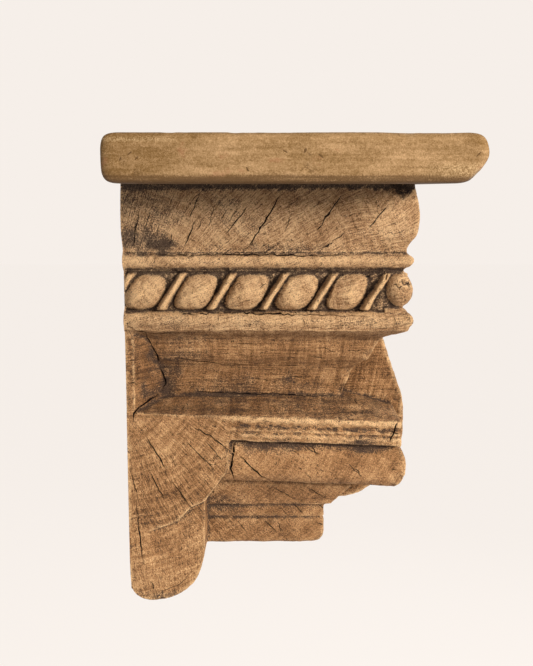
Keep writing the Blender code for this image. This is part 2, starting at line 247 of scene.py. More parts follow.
class Sculpt:
    """A mesh's points as arrays, for moves that are worked out for all of them at once."""

    def __init__(self, item: bpy.types.Object) -> None:
        """Read the object's mesh."""
        self.mesh = item.data
        self.count = len(self.mesh.vertices)
        self.places = np.empty((self.count, 3))
        self.mesh.vertices.foreach_get("co", self.places.reshape(-1))
        edges = np.empty(len(self.mesh.edges) * 2, dtype=np.int32)
        self.mesh.edges.foreach_get("vertices", edges)
        self.ends = edges.reshape(-1, 2)
        self.degree = np.bincount(edges, minlength=self.count).astype(float)
        self.normals = np.empty((self.count, 3))
        self.read_normals()

    def read_normals(self) -> None:
        """Read the points' normals again after the mesh has changed."""
        self.mesh.vertices.foreach_get("normal", self.normals.reshape(-1))

    def write(self) -> None:
        """Put the moved points back into the mesh."""
        self.mesh.vertices.foreach_set("co", self.places.reshape(-1))
        self.mesh.update()
        self.read_normals()

    def neighbours_mean(self, values: np.ndarray) -> np.ndarray:
        """Return each point's mean of its neighbours' values, one column or three."""
        first, second = self.ends[:, 0], self.ends[:, 1]
        columns = values.reshape(self.count, -1)
        out = np.empty_like(columns, dtype=float)
        for column in range(columns.shape[1]):
            data = columns[:, column]
            out[:, column] = np.bincount(first, weights=data[second], minlength=self.count)
            out[:, column] += np.bincount(second, weights=data[first], minlength=self.count)
        out /= np.maximum(self.degree, 1.0)[:, None]
        return out.reshape(values.shape)

    def smoothed(self, values: np.ndarray, rounds: int) -> np.ndarray:
        """Return the values after so many rounds of averaging with their neighbours."""
        out = values.astype(float)
        for _ in range(rounds):
            out = (out + self.neighbours_mean(out)) / 2.0
        return out

    def hollow(self, rounds: int) -> np.ndarray:
        """Return how deep each point lies below its smoothed surroundings, in metres."""
        return np.einsum("ij,ij->i", self.smoothed(self.places, rounds) - self.places, self.normals)

    def push(self, distance: np.ndarray) -> None:
        """Move each point out along its normal by its distance."""
        self.places += self.normals * distance[:, None]


class NodeCanvas:
    """Writes a material's nodes in plain words."""

    def __init__(self, name: str) -> None:
        """Start a material with its Principled shader."""
        self.material = bpy.data.materials.new(name)
        self.material.use_nodes = True
        self.tree = self.material.node_tree
        self.shader = self.tree.nodes["Principled BSDF"]
        self.object_place = self.add("ShaderNodeTexCoord").outputs["Object"]

    def add(self, kind: str, **settings: object) -> bpy.types.Node:
        """Add a node and set its properties."""
        node = self.tree.nodes.new(kind)
        for name, value in settings.items():
            setattr(node, name, value)
        return node

    def feed(self, socket: bpy.types.NodeSocket, value: object) -> None:
        """Link an output to a socket, or set the socket's own value."""
        if isinstance(value, bpy.types.NodeSocket):
            self.tree.links.new(value, socket)
        else:
            socket.default_value = value

    def math(self, operation: str, *values: object, clamp: bool = False) -> bpy.types.NodeSocket:
        """Return the result of a Math node."""
        node = self.add("ShaderNodeMath", operation=operation, use_clamp=clamp)
        for socket, value in zip(node.inputs, values):
            self.feed(socket, value)
        return node.outputs[0]

    def split(self, vector: bpy.types.NodeSocket) -> tuple[bpy.types.NodeSocket, ...]:
        """Return a vector's X, Y and Z."""
        node = self.add("ShaderNodeSeparateXYZ")
        self.feed(node.inputs[0], vector)
        return tuple(node.outputs)

    def join(self, *values: object) -> bpy.types.NodeSocket:
        """Return a vector of three values."""
        node = self.add("ShaderNodeCombineXYZ")
        for socket, value in zip(node.inputs, values):
            self.feed(socket, value)
        return node.outputs[0]

    def stretched(self, vector: bpy.types.NodeSocket, cell: tuple[float, float, float]) -> bpy.types.NodeSocket:
        """Return a vector measured in cells, each so many metres along its axes."""
        node = self.add("ShaderNodeVectorMath", operation="DIVIDE")
        self.feed(node.inputs[0], vector)
        node.inputs[1].default_value = cell
        return node.outputs[0]

    def noise(self, vector: object, detail: float = 2.0, rough: float = 0.5, bend: float = 0.0) -> bpy.types.NodeSocket:
        """Return a Noise texture's value at a vector that is already measured in cells."""
        node = self.add("ShaderNodeTexNoise")
        self.feed(node.inputs["Vector"], vector)
        node.inputs["Scale"].default_value = 1.0
        node.inputs["Detail"].default_value = detail
        node.inputs["Roughness"].default_value = rough
        node.inputs["Distortion"].default_value = bend
        return node.outputs["Fac"]

    def rise(self, value: object, low: float, high: float) -> bpy.types.NodeSocket:
        """Return 0 below low and 1 above high, with an eased rise between. Low may be the larger."""
        node = self.add("ShaderNodeMapRange", interpolation_type="SMOOTHSTEP")
        self.feed(node.inputs["Value"], value)
        node.inputs["From Min"].default_value = min(low, high)
        node.inputs["From Max"].default_value = max(low, high)
        node.inputs["To Min"].default_value = 0.0 if low < high else 1.0
        node.inputs["To Max"].default_value = 1.0 if low < high else 0.0
        return node.outputs["Result"]

    def mix(self, share: object, first: object, second: object, blend: str = "MIX") -> bpy.types.NodeSocket:
        """Return two colours mixed by a share."""
        node = self.add("ShaderNodeMix", data_type="RGBA", blend_type=blend)
        self.feed(node.inputs["Factor"], share)
        for socket, value in ((node.inputs["A"], first), (node.inputs["B"], second)):
            self.feed(socket, (*value, 1.0) if isinstance(value, tuple) else value)
        return node.outputs["Result"]

    def blend(self, share: object, first: object, second: object) -> bpy.types.NodeSocket:
        """Return two numbers mixed by a share."""
        node = self.add("ShaderNodeMix", data_type="FLOAT")
        for socket, value in zip((node.inputs["Factor"], node.inputs["A"], node.inputs["B"]), (share, first, second)):
            self.feed(socket, value)
        return node.outputs["Result"]

    def ramp(self, value: bpy.types.NodeSocket, stops: tuple[tuple[float, Colour], ...]) -> bpy.types.NodeSocket:
        """Return the colour at a value on a ramp of (place, colour) stops."""
        node = self.add("ShaderNodeValToRGB")
        self.feed(node.inputs[0], value)
        elements = node.color_ramp.elements
        while len(elements) < len(stops):
            elements.new(1.0)
        for element, (place, colour) in zip(elements, stops):
            element.position = place
            element.color = (*colour, 1.0)
        return node.outputs["Color"]

    def measure(self, name: str, share: object = 1.0) -> bpy.types.NodeSocket:
        """Return a share of a mesh attribute's value."""
        value = self.add("ShaderNodeAttribute", attribute_name=name).outputs["Fac"]
        return self.math("MULTIPLY", value, share)

    def weighted(self, *terms: tuple[bpy.types.NodeSocket, float]) -> bpy.types.NodeSocket:
        """Return a half plus each texture's swing about a half, times its weight."""
        total: object = 0.5
        for value, weight in terms:
            swing = self.math("MULTIPLY_ADD", value, weight, -0.5 * weight)
            total = self.math("ADD", swing, total)
        return total

    def relief(self, height: bpy.types.NodeSocket, depth: float, strength: float) -> None:
        """Raise the shader's surface by a height, of so many metres for a height of one."""
        node = self.add("ShaderNodeBump")
        node.inputs["Strength"].default_value = strength
        node.inputs["Distance"].default_value = depth
        self.feed(node.inputs["Height"], height)
        self.feed(self.shader.inputs["Normal"], node.outputs["Normal"])


@dataclass(frozen=True)
class OldWoodFinish:
    """Old dry hardwood: end grain on the sides, long grain elsewhere, dark patina with painted shade, rubbed arrises
    with painted highlights, and a painted tone that is lighter above and darker below.
    """

    name: str = "old_hardwood"
    dark: Colour = (0.105, 0.048, 0.020)
    mid: Colour = (0.366, 0.184, 0.077)
    light: Colour = (0.690, 0.418, 0.202)
    # The colour of rubbed arrises, and of painted highlights on the pearls, beads, lips and hip.
    worn_and_highlight: Colour = (0.800, 0.515, 0.262)
    dust: Colour = (1.0, 1.07, 1.18)
    dusty_above: float = -0.022
    # Patina in the hollows, and also the colour of painted shade under the board, the upper bead and the fillet.
    patina_and_shade: Colour = (0.066, 0.043, 0.032)
    # Near black for pits and hairlines, and for painted shadow in the darkest places.
    soot_and_shade: Colour = (0.010, 0.006, 0.005)
    pith: Place = (-0.027, -0.043)
    mean_radius: float = 0.16
    hairline_gap: float = 0.0085
    roughness: Place = (0.52, 0.88)
    specular: float = 0.20
    bump_depth: float = 0.0019
    bump_strength: float = 1.0

    def polar(self, canvas: NodeCanvas) -> bpy.types.NodeSocket:
        """Return (radius, arc, y) about the pith, in metres."""
        x, y, z = canvas.split(canvas.object_place)
        across = canvas.math("SUBTRACT", x, self.pith[0])
        above = canvas.math("SUBTRACT", z, self.pith[1])
        wander = canvas.noise(canvas.stretched(canvas.object_place, (0.05, 0.05, 0.05)), 2.0)
        square = canvas.math("MULTIPLY_ADD", across, across, canvas.math("MULTIPLY", above, above))
        radius = canvas.math("MULTIPLY_ADD", wander, 0.012, canvas.math("SQRT", square))
        angle = canvas.math("ARCTAN2", above, across)
        arc = canvas.math("MULTIPLY_ADD", wander, 0.016, canvas.math("MULTIPLY", angle, self.mean_radius))
        return canvas.join(radius, arc, y)

    def make(self) -> bpy.types.Material:
        """Write the material.

        Returns:
            The finished material.
        """
        canvas = NodeCanvas(self.name)
        place = canvas.object_place
        carved = canvas.rise(canvas.split(place)[0], 0.0001, 0.0004)
        ends = canvas.measure("end_grain", carved)
        scored = canvas.measure("scored", carved)
        polar = self.polar(canvas)
        grain = canvas.noise(canvas.stretched(place, (0.0008, 0.0012, 0.0009)), 3.0, 0.75)
        speckle = canvas.noise(canvas.stretched(place, (0.0024, 0.0032, 0.0022)), 4.0, 0.7)
        blotch = canvas.noise(canvas.stretched(place, (0.026, 0.045, 0.022)), 4.0, 0.62, 0.8)
        rings = canvas.noise(canvas.stretched(polar, (0.0030, 0.045, 0.05)), 3.0, 0.6, 0.2)
        rays = canvas.noise(canvas.stretched(polar, (0.011, 0.0009, 0.02)), 3.0, 0.7, 0.15)
        level_scores = canvas.noise(canvas.stretched(place, (0.034, 0.034, 0.0011)), 3.0, 0.7, 0.3)
        plumb_scores = canvas.noise(canvas.stretched(place, (0.0012, 0.02, 0.016)), 2.0, 0.7, 0.3)
        scores = canvas.blend(0.15, level_scores, plumb_scores)
        cuts = canvas.noise(canvas.stretched(place, (0.0016, 0.0016, 0.024)), 3.0, 0.65, 0.2)
        fibres = canvas.noise(canvas.stretched(place, (0.0014, 0.034, 0.0014)), 4.0, 0.65)
        streaks = canvas.noise(canvas.stretched(place, (0.006, 0.12, 0.006)), 3.0, 0.6)
        lines = canvas.blend(scored, canvas.blend(ends, fibres, rays), scores)
        bands = canvas.blend(ends, streaks, rings)
        lines = canvas.blend(canvas.measure("tooled", carved), lines, cuts)
        lines = canvas.blend(canvas.measure("calm", carved), lines, 0.5)
        tone = canvas.weighted((grain, 0.95), (speckle, 0.24), (lines, 0.82), (bands, 0.50), (blotch, 0.50))
        # The tone shift is painted light and shade on the corbel: lighter above, darker below and in the recessed
        # parts.
        tone = canvas.math("ADD", tone, canvas.measure("tone_shift", carved))
        colour = canvas.ramp(tone, ((0.24, self.dark), (0.48, self.mid), (0.74, self.light)))
        dusty = canvas.rise(canvas.split(place)[2], self.dusty_above - 0.02, self.dusty_above)
        colour = canvas.mix(dusty, colour, self.dust, "MULTIPLY")
        # Rubbed arrises, plus painted highlights on the pearl tops, the beads, the lips and the hip.
        worn_and_highlight = canvas.measure("worn_and_highlight", carved)
        rubbed_and_highlight = canvas.math("MULTIPLY", worn_and_highlight, canvas.rise(grain, 0.30, 0.56), clamp=True)
        colour = canvas.mix(rubbed_and_highlight, colour, self.worn_and_highlight)
        # This mask carries patina and painted shade: under the board, under the upper bead and under the fillet.
        patina_and_shade = canvas.measure("patina_and_shade", carved)
        dirt_and_shade = canvas.math("MULTIPLY_ADD", canvas.math("SUBTRACT", grain, 0.5), -3.2, patina_and_shade)
        dirt_and_shade = canvas.math("MULTIPLY_ADD", canvas.math("SUBTRACT", speckle, 0.5), -0.9, dirt_and_shade)
        dirt_and_shade = canvas.math("MULTIPLY_ADD", canvas.math("SUBTRACT", lines, 0.5), -1.4, dirt_and_shade)
        colour = canvas.mix(canvas.math("MULTIPLY", canvas.rise(dirt_and_shade, 0.18, 1.02), 0.94), colour, self.patina_and_shade)
        # The darkest places turn near black: painted shadow under the board and under the fillet, and the dark chips.
        colour = canvas.mix(canvas.math("MULTIPLY", canvas.rise(dirt_and_shade, 0.95, 1.90), 0.70), colour, self.soot_and_shade)
        pits = self.pits(canvas)
        colour = canvas.mix(pits, colour, self.soot_and_shade)
        hairlines = self.hairlines(canvas, polar, ends)
        hairlines = canvas.math("MULTIPLY", hairlines, canvas.rise(worn_and_highlight, 0.45, 0.20))
        colour = canvas.mix(hairlines, colour, self.soot_and_shade)
        # Painted shade inside the cut cracks: their walls are coloured near black.
        inside = canvas.rise(canvas.measure("crack_depth", carved), 0.05, 0.45)
        colour = canvas.mix(inside, colour, self.soot_and_shade)
        canvas.feed(canvas.shader.inputs["Base Color"], colour)
        roughness = canvas.blend(tone, self.roughness[1], self.roughness[0])
        canvas.feed(canvas.shader.inputs["Roughness"], roughness)
        canvas.shader.inputs["Specular IOR Level"].default_value = self.specular
        height = canvas.weighted((grain, 1.3), (speckle, 0.9), (lines, 1.0), (bands, 0.40))
        height = canvas.math("MULTIPLY_ADD", hairlines, -0.8, height)
        height = canvas.math("MULTIPLY_ADD", pits, -0.8, height)
        canvas.relief(height, self.bump_depth, self.bump_strength)
        return canvas.material

    def pits(self, canvas: NodeCanvas) -> bpy.types.NodeSocket:
        """Return small dark pits, which gather in some places."""
        small = canvas.noise(canvas.stretched(canvas.object_place, (0.0016, 0.0026, 0.0016)), 2.0, 0.6)
        gather = canvas.noise(canvas.stretched(canvas.object_place, (0.015, 0.03, 0.012)), 3.0, 0.6)
        level = canvas.math("MULTIPLY_ADD", gather, 0.30, small)
        return canvas.math("MULTIPLY", canvas.rise(level, 0.80, 0.87), 0.8)

    def hairlines(
        self, canvas: NodeCanvas, polar: bpy.types.NodeSocket, ends: bpy.types.NodeSocket
    ) -> bpy.types.NodeSocket:
        """Return thin cracks: radial ones on end grain, and ones along the grain elsewhere."""
        x, y, z = canvas.split(canvas.object_place)
        arc = canvas.split(polar)[1]
        drift = canvas.noise(canvas.stretched(canvas.object_place, (0.012, 0.05, 0.012)), 2.0, 0.6)
        level = canvas.blend(ends, canvas.math("ADD", x, z), arc)
        swing = canvas.math("MULTIPLY_ADD", drift, 0.9, 0.35)
        turn = canvas.math("MULTIPLY_ADD", level, 1.0 / self.hairline_gap, swing)
        distance = canvas.math("ABSOLUTE", canvas.math("SUBTRACT", canvas.math("FRACT", turn), 0.5))
        line = canvas.rise(distance, 0.045, 0.012)
        spread = canvas.blend(
            ends,
            canvas.noise(canvas.stretched(canvas.object_place, (0.006, 0.03, 0.006)), 2.0, 0.6),
            canvas.noise(canvas.stretched(polar, (0.016, 0.006, 0.02)), 2.0, 0.6),
        )
        return canvas.math("MULTIPLY", line, canvas.rise(spread, 0.575, 0.635))


@dataclass(frozen=True)
class BoardFinish:
    """Smooth, rubbed board wood: flat-sawn rings on the ends and long grain along the board, with painted shade on its
    lower arrises and a painted highlight line near the wall.
    """

    name: str = "board_wood"
    dark: Colour = (0.110, 0.058, 0.017)
    mid: Colour = (0.198, 0.117, 0.051)
    light: Colour = (0.332, 0.208, 0.104)
    rust: Colour = (0.200, 0.085, 0.040)
    # Grime, and the colour of painted shade on the lower arrises and downward faces.
    grime_and_shade: Colour = (0.074, 0.037, 0.012)
    # Pale scuffs, and the colour of a painted highlight line near the wall.
    scuff_and_highlight: Colour = (0.520, 0.370, 0.200)
    roughness: Place = (0.44, 0.70)
    specular: float = 0.24
    bump_depth: float = 0.0005
    bump_strength: float = 0.6
    spots: tuple[Spot, ...] = (
        Spot(133.5, 104.0, 0.8, 1.5, 20.0),
        Spot(143.8, 100.5, 1.9, 0.55, 40.0),
        Spot(120.5, 103.5, 1.7, 0.45, 30.0),
        Spot(24.0, 99.0, 1.5, 0.45, -50.0),
        Spot(19.5, 102.0, 1.8, 0.40, -40.0),
        Spot(13.5, 98.5, 1.2, 0.45, -60.0),
        Spot(246.0, 101.5, 2.2, 0.45, -45.0),
    )

    def make(self) -> bpy.types.Material:
        """Write the material.

        Returns:
            The finished material.
        """
        canvas = NodeCanvas(self.name)
        place = canvas.object_place
        ends = canvas.measure("end_grain")
        grain = canvas.noise(canvas.stretched(place, (0.0009, 0.0016, 0.0009)), 3.0, 0.75)
        speckle = canvas.noise(canvas.stretched(place, (0.0034, 0.006, 0.0020)), 4.0, 0.65)
        bands = canvas.noise(canvas.stretched(place, (0.055, 0.30, 0.0027)), 3.0, 0.65, 0.35)
        fibres = canvas.noise(canvas.stretched(place, (0.0013, 0.055, 0.0013)), 3.0, 0.6)
        broad = canvas.noise(canvas.stretched(place, (0.012, 0.35, 0.010)), 2.0, 0.5)
        blotch = canvas.noise(canvas.stretched(place, (0.032, 0.08, 0.013)), 4.0, 0.65, 0.6)
        lines = canvas.blend(ends, fibres, bands)
        tone = canvas.weighted(
            (grain, 0.95), (speckle, 0.50), (lines, 0.42), (blotch, 0.36), (canvas.blend(ends, broad, blotch), 0.2)
        )
        # The tone shift darkens the board towards the wall end and along its upper part.
        tone = canvas.math("ADD", tone, canvas.measure("tone_shift"))
        colour = canvas.ramp(tone, ((0.24, self.dark), (0.50, self.mid), (0.78, self.light)))
        rust_place = canvas.noise(canvas.stretched(place, (0.019, 0.03, 0.012)), 3.0, 0.6)
        rust = canvas.math("MULTIPLY", canvas.rise(rust_place, 0.60, 0.74), 0.45)
        colour = canvas.mix(rust, colour, self.rust)
        # Grime plus painted shade on the lower arrises and the downward faces.
        grime_and_shade = canvas.math("MULTIPLY_ADD", canvas.math("SUBTRACT", grain, 0.5), -1.2, canvas.measure("patina_and_shade"))
        grime_and_shade = canvas.math("MULTIPLY_ADD", canvas.math("SUBTRACT", lines, 0.5), -1.0, grime_and_shade)
        colour = canvas.mix(canvas.math("MULTIPLY", canvas.rise(grime_and_shade, 0.12, 0.95), 0.88), colour, self.grime_and_shade)
        # Pale scuffs, and a painted highlight line near the wall.
        worn_and_highlight = canvas.math("MULTIPLY", canvas.measure("worn_and_highlight"), canvas.rise(grain, 0.40, 0.62), clamp=True)
        colour = canvas.mix(canvas.math("MULTIPLY", worn_and_highlight, 0.55), colour, self.scuff_and_highlight)
        nicks = canvas.math("MAXIMUM", self.nicks(canvas), self.spotted(canvas, grain))
        colour = canvas.mix(nicks, colour, self.grime_and_shade)
        canvas.feed(canvas.shader.inputs["Base Color"], colour)
        roughness = canvas.blend(tone, self.roughness[1], self.roughness[0])
        canvas.feed(canvas.shader.inputs["Roughness"], roughness)
        canvas.shader.inputs["Specular IOR Level"].default_value = self.specular
        height = canvas.weighted((grain, 0.9), (speckle, 0.8), (lines, 0.6))
        height = canvas.math("MULTIPLY_ADD", nicks, -1.0, height)
        canvas.relief(height, self.bump_depth, self.bump_strength)
        return canvas.material

    def spotted(self, canvas: NodeCanvas, grain: bpy.types.NodeSocket) -> bpy.types.NodeSocket:
        """Return the few small cuts that the photo shows on the board's end."""
        x, _, z = canvas.split(canvas.object_place)
        total: object = 0.0
        for spot in self.spots:
            turn = math.radians(spot.turn)
            off_x = canvas.math("SUBTRACT", x, spot.x * MM)
            off_z = canvas.math("SUBTRACT", z, spot.height * MM)
            along = canvas.math("MULTIPLY_ADD", off_x, math.cos(turn) / spot.half_x / MM,
                                canvas.math("MULTIPLY", off_z, -math.sin(turn) / spot.half_x / MM))
            across = canvas.math("MULTIPLY_ADD", off_x, math.sin(turn) / spot.half_z / MM,
                                 canvas.math("MULTIPLY", off_z, math.cos(turn) / spot.half_z / MM))
            square = canvas.math("MULTIPLY_ADD", along, along, canvas.math("MULTIPLY", across, across))
            ragged = canvas.math("MULTIPLY_ADD", grain, -2.2, square)
            total = canvas.math("MAXIMUM", canvas.rise(ragged, 0.4, -0.5), total)
        return canvas.math("MULTIPLY", total, 0.9)

    def nicks(self, canvas: NodeCanvas) -> bpy.types.NodeSocket:
        """Return small dark cracks that gather in a few places."""
        field_value = canvas.noise(canvas.stretched(canvas.object_place, (0.009, 0.03, 0.0035)), 1.0, 0.5)
        line = canvas.rise(canvas.math("ABSOLUTE", canvas.math("SUBTRACT", field_value, 0.5)), 0.022, 0.006)
        gather = canvas.noise(canvas.stretched(canvas.object_place, (0.013, 0.02, 0.010)), 2.0, 0.6)
        return canvas.math("MULTIPLY", line, canvas.rise(gather, 0.66, 0.72))


@dataclass
class PearlBand:
    """The carved band: pearls between slanted bars, cut into the sides and the front."""

    sizes: Mouldings
    side_pearls: int = 5
    front_pearls: int = 5
    first_inset: float = 0.016
    corner_inset: float = 0.002
    side_end: float = 0.1985
    front_end: float = 0.0925
    ground_margin: float = 0.0007
    corner_x: float = 0.2095
    corner_y: float = 0.1040
    lean: float = 0.0165
    front_lean: float = 0.011
    pearl_lean: float = 0.78
    pearl_half: float = 0.0151
    pearl_tall: float = 0.0143
    pearl_sink: float = 0.0008
    pearl_rise: float = 0.0078
    facets: int = 6
    bar_top: float = 0.0017
    bar_foot: float = 0.0040
    bar_rise: float = 0.0062
    bar_shift: float = 0.0012
    floor: float = -0.0036
    margin: float = 0.0012
    foot_reach: float = 0.0020
    corner_rise: float = 0.012
    corner_shade: float = 0.0036
    relax_rounds: int = 50

    def outward(self, sculpt: Sculpt, side: Side) -> tuple[np.ndarray, np.ndarray, float, int, float]:
        """Return what a side's points are measured by.

        Args:
            sculpt: the corbel's points.
            side: which face.

        Returns:
            The run along the face, the points on it, the face's place, its axis and its sign.
        """
        places = sculpt.places
        half = self.sizes.half_width - self.sizes.band_setback
        front = self.sizes.front - self.sizes.band_setback
        if side is Side.FRONT:
            run = np.abs(places[:, 1])
            ground = (places[:, 0] < front + self.ground_margin) & (run < self.corner_y)
            on_face = (places[:, 0] > front - 0.006) & ((run < self.front_end) | ground)
            return run, on_face, front, 0, 1.0
        sign = float(side.value)
        run = places[:, 0]
        ground = (places[:, 1] * sign < half + self.ground_margin) & (run < self.corner_x)
        on_face = (places[:, 1] * sign > half - 0.006) & (run > 0.001) & ((run < self.side_end) | ground)
        return run, on_face, half, 1, sign

    def pitch(self, side: Side) -> tuple[float, float]:
        """Return a side's first pearl and its pitch."""
        half = self.sizes.half_width - self.sizes.band_setback
        front = self.sizes.front - self.sizes.band_setback
        if side is Side.FRONT:
            return 0.0, 2 * (half - self.corner_inset) / (self.front_pearls + 1)
        return self.first_inset, (front - self.corner_inset - self.first_inset) / self.side_pearls

    def pearl(self, across: np.ndarray, up: np.ndarray, rng: np.random.Generator) -> np.ndarray:
        """Return one pearl's height as a share of its rise: a low dome with knife facets.

        Args:
            across: the distance from its middle, in half widths.
            up: the height over its middle, in half heights.
            rng: turns and tilts the facets.

        Returns:
            A share from 0 at its foot to about 1.
        """
        square = rng.uniform(2.3, 3.3)
        reach = (np.abs(across) ** square + np.abs(up) ** square) ** (1 / square)
        dome = np.clip(1.0 - reach**2.0, 0.0, 1.0) ** 0.72
        for index in range(self.facets):
            turn = (index + rng.uniform(-0.35, 0.35)) * 2 * math.pi / self.facets
            tilt = rng.uniform(0.30, 0.75)
            level = rng.uniform(0.86, 1.06)
            plane = level - tilt * (math.cos(turn) * across + math.sin(turn) * up)
            dome = np.minimum(dome, np.maximum(plane, 0.0))
        return dome

    def height(self, run: np.ndarray, up: np.ndarray, side: Side, tall: float) -> np.ndarray:
        """Return how far the carving stands out of the band's ground.

        Args:
            run: the distance along the face.
            up: the height over the band's middle.
            side: which face.
            tall: the band's height.

        Returns:
            One height for each point, in metres.
        """
        first, pitch = self.pitch(side)
        rng = np.random.default_rng(7 + side.value)
        lean = self.front_lean if side is Side.FRONT else self.lean
        out = np.full(len(run), self.floor)
        for index in range(-1, self.side_pearls if side is not Side.FRONT else 3):
            center = first + pitch * index + rng.normal(0.0, 0.0006)
            rise = self.pearl_rise * (1.0 + rng.normal(0.0, 0.07))
            half = self.pearl_half * pitch / 0.0388 * (1.0 + rng.normal(0.0, 0.03))
            slip = (run - center - self.pearl_lean * lean * up / tall) / half
            raised = (up + self.pearl_sink) / self.pearl_tall
            share = self.pearl(slip, raised, rng)
            out = np.maximum(out, self.floor + (rise - self.floor) * share)
            line = first + pitch * (index + 0.5) + self.bar_shift + rng.normal(0.0, 0.0005)
            bow = 0.0012 * np.sin(up / tall * math.pi * 1.2)
            off = np.abs(run - line - lean * up / tall - bow)
            slope = np.clip((self.bar_foot - off) / (self.bar_foot - self.bar_top), 0.0, 1.0)
            ends = ease(tall / 2 - np.abs(up), 0.0006, 0.0032)
            out = np.maximum(out, self.floor + (self.bar_rise - self.floor) * slope * ends)
        end = self.front_end if side is Side.FRONT else self.side_end
        out = np.maximum(out, self.floor * (1.0 - ease(run, end - self.corner_rise, end)))
        edge = ease(tall / 2 - np.abs(up), 0.0, 0.0011)
        return out * edge

    def carve(self, sculpt: Sculpt) -> np.ndarray:
        """Cut the band's relief into the corbel.

        Args:
            sculpt: the corbel's points, which are moved.

        Returns:
            How far below the band's ground each point lies, in metres, with a painted shade added on the slope before
            the corner pearl.
        """
        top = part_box("carved_corbel")[1][2]
        below = np.zeros(sculpt.count)
        low, high = self.sizes.band_top + self.margin, self.sizes.band_foot + self.foot_reach
        tall = high - low
        for side in Side:
            drop = top - sculpt.places[:, 2]
            run, on_face, level, axis, sign = self.outward(sculpt, side)
            chosen = on_face & (drop > low) & (drop < high)
            outward = sculpt.places[:, axis]
            outward[chosen] = sign * level
            for _ in range(self.relax_rounds):
                mean = sculpt.neighbours_mean(sculpt.places)
                sculpt.places[chosen] = mean[chosen]
            drop = top - sculpt.places[:, 2]
            run, _, level, axis, sign = self.outward(sculpt, side)
            up = (low + high) / 2 - drop
            relief = self.height(run, up, side, tall)
            rough = lattice_noise(sculpt.places, 0.0030, 21) * 0.00040 * (1.0 + ease(-relief, -0.001, 0.003))
            sculpt.places[chosen, axis] = sign * (level + relief + rough)[chosen]
            end = self.front_end if side is Side.FRONT else self.side_end
            # Painted shade on the slope up to the corner pearl, added to the depth that darkens the slots.
            shade = self.corner_shade * ease(run, end - self.corner_rise, end - self.corner_rise / 3)
            below[chosen] = (shade - relief)[chosen]
        sculpt.write()
        return below


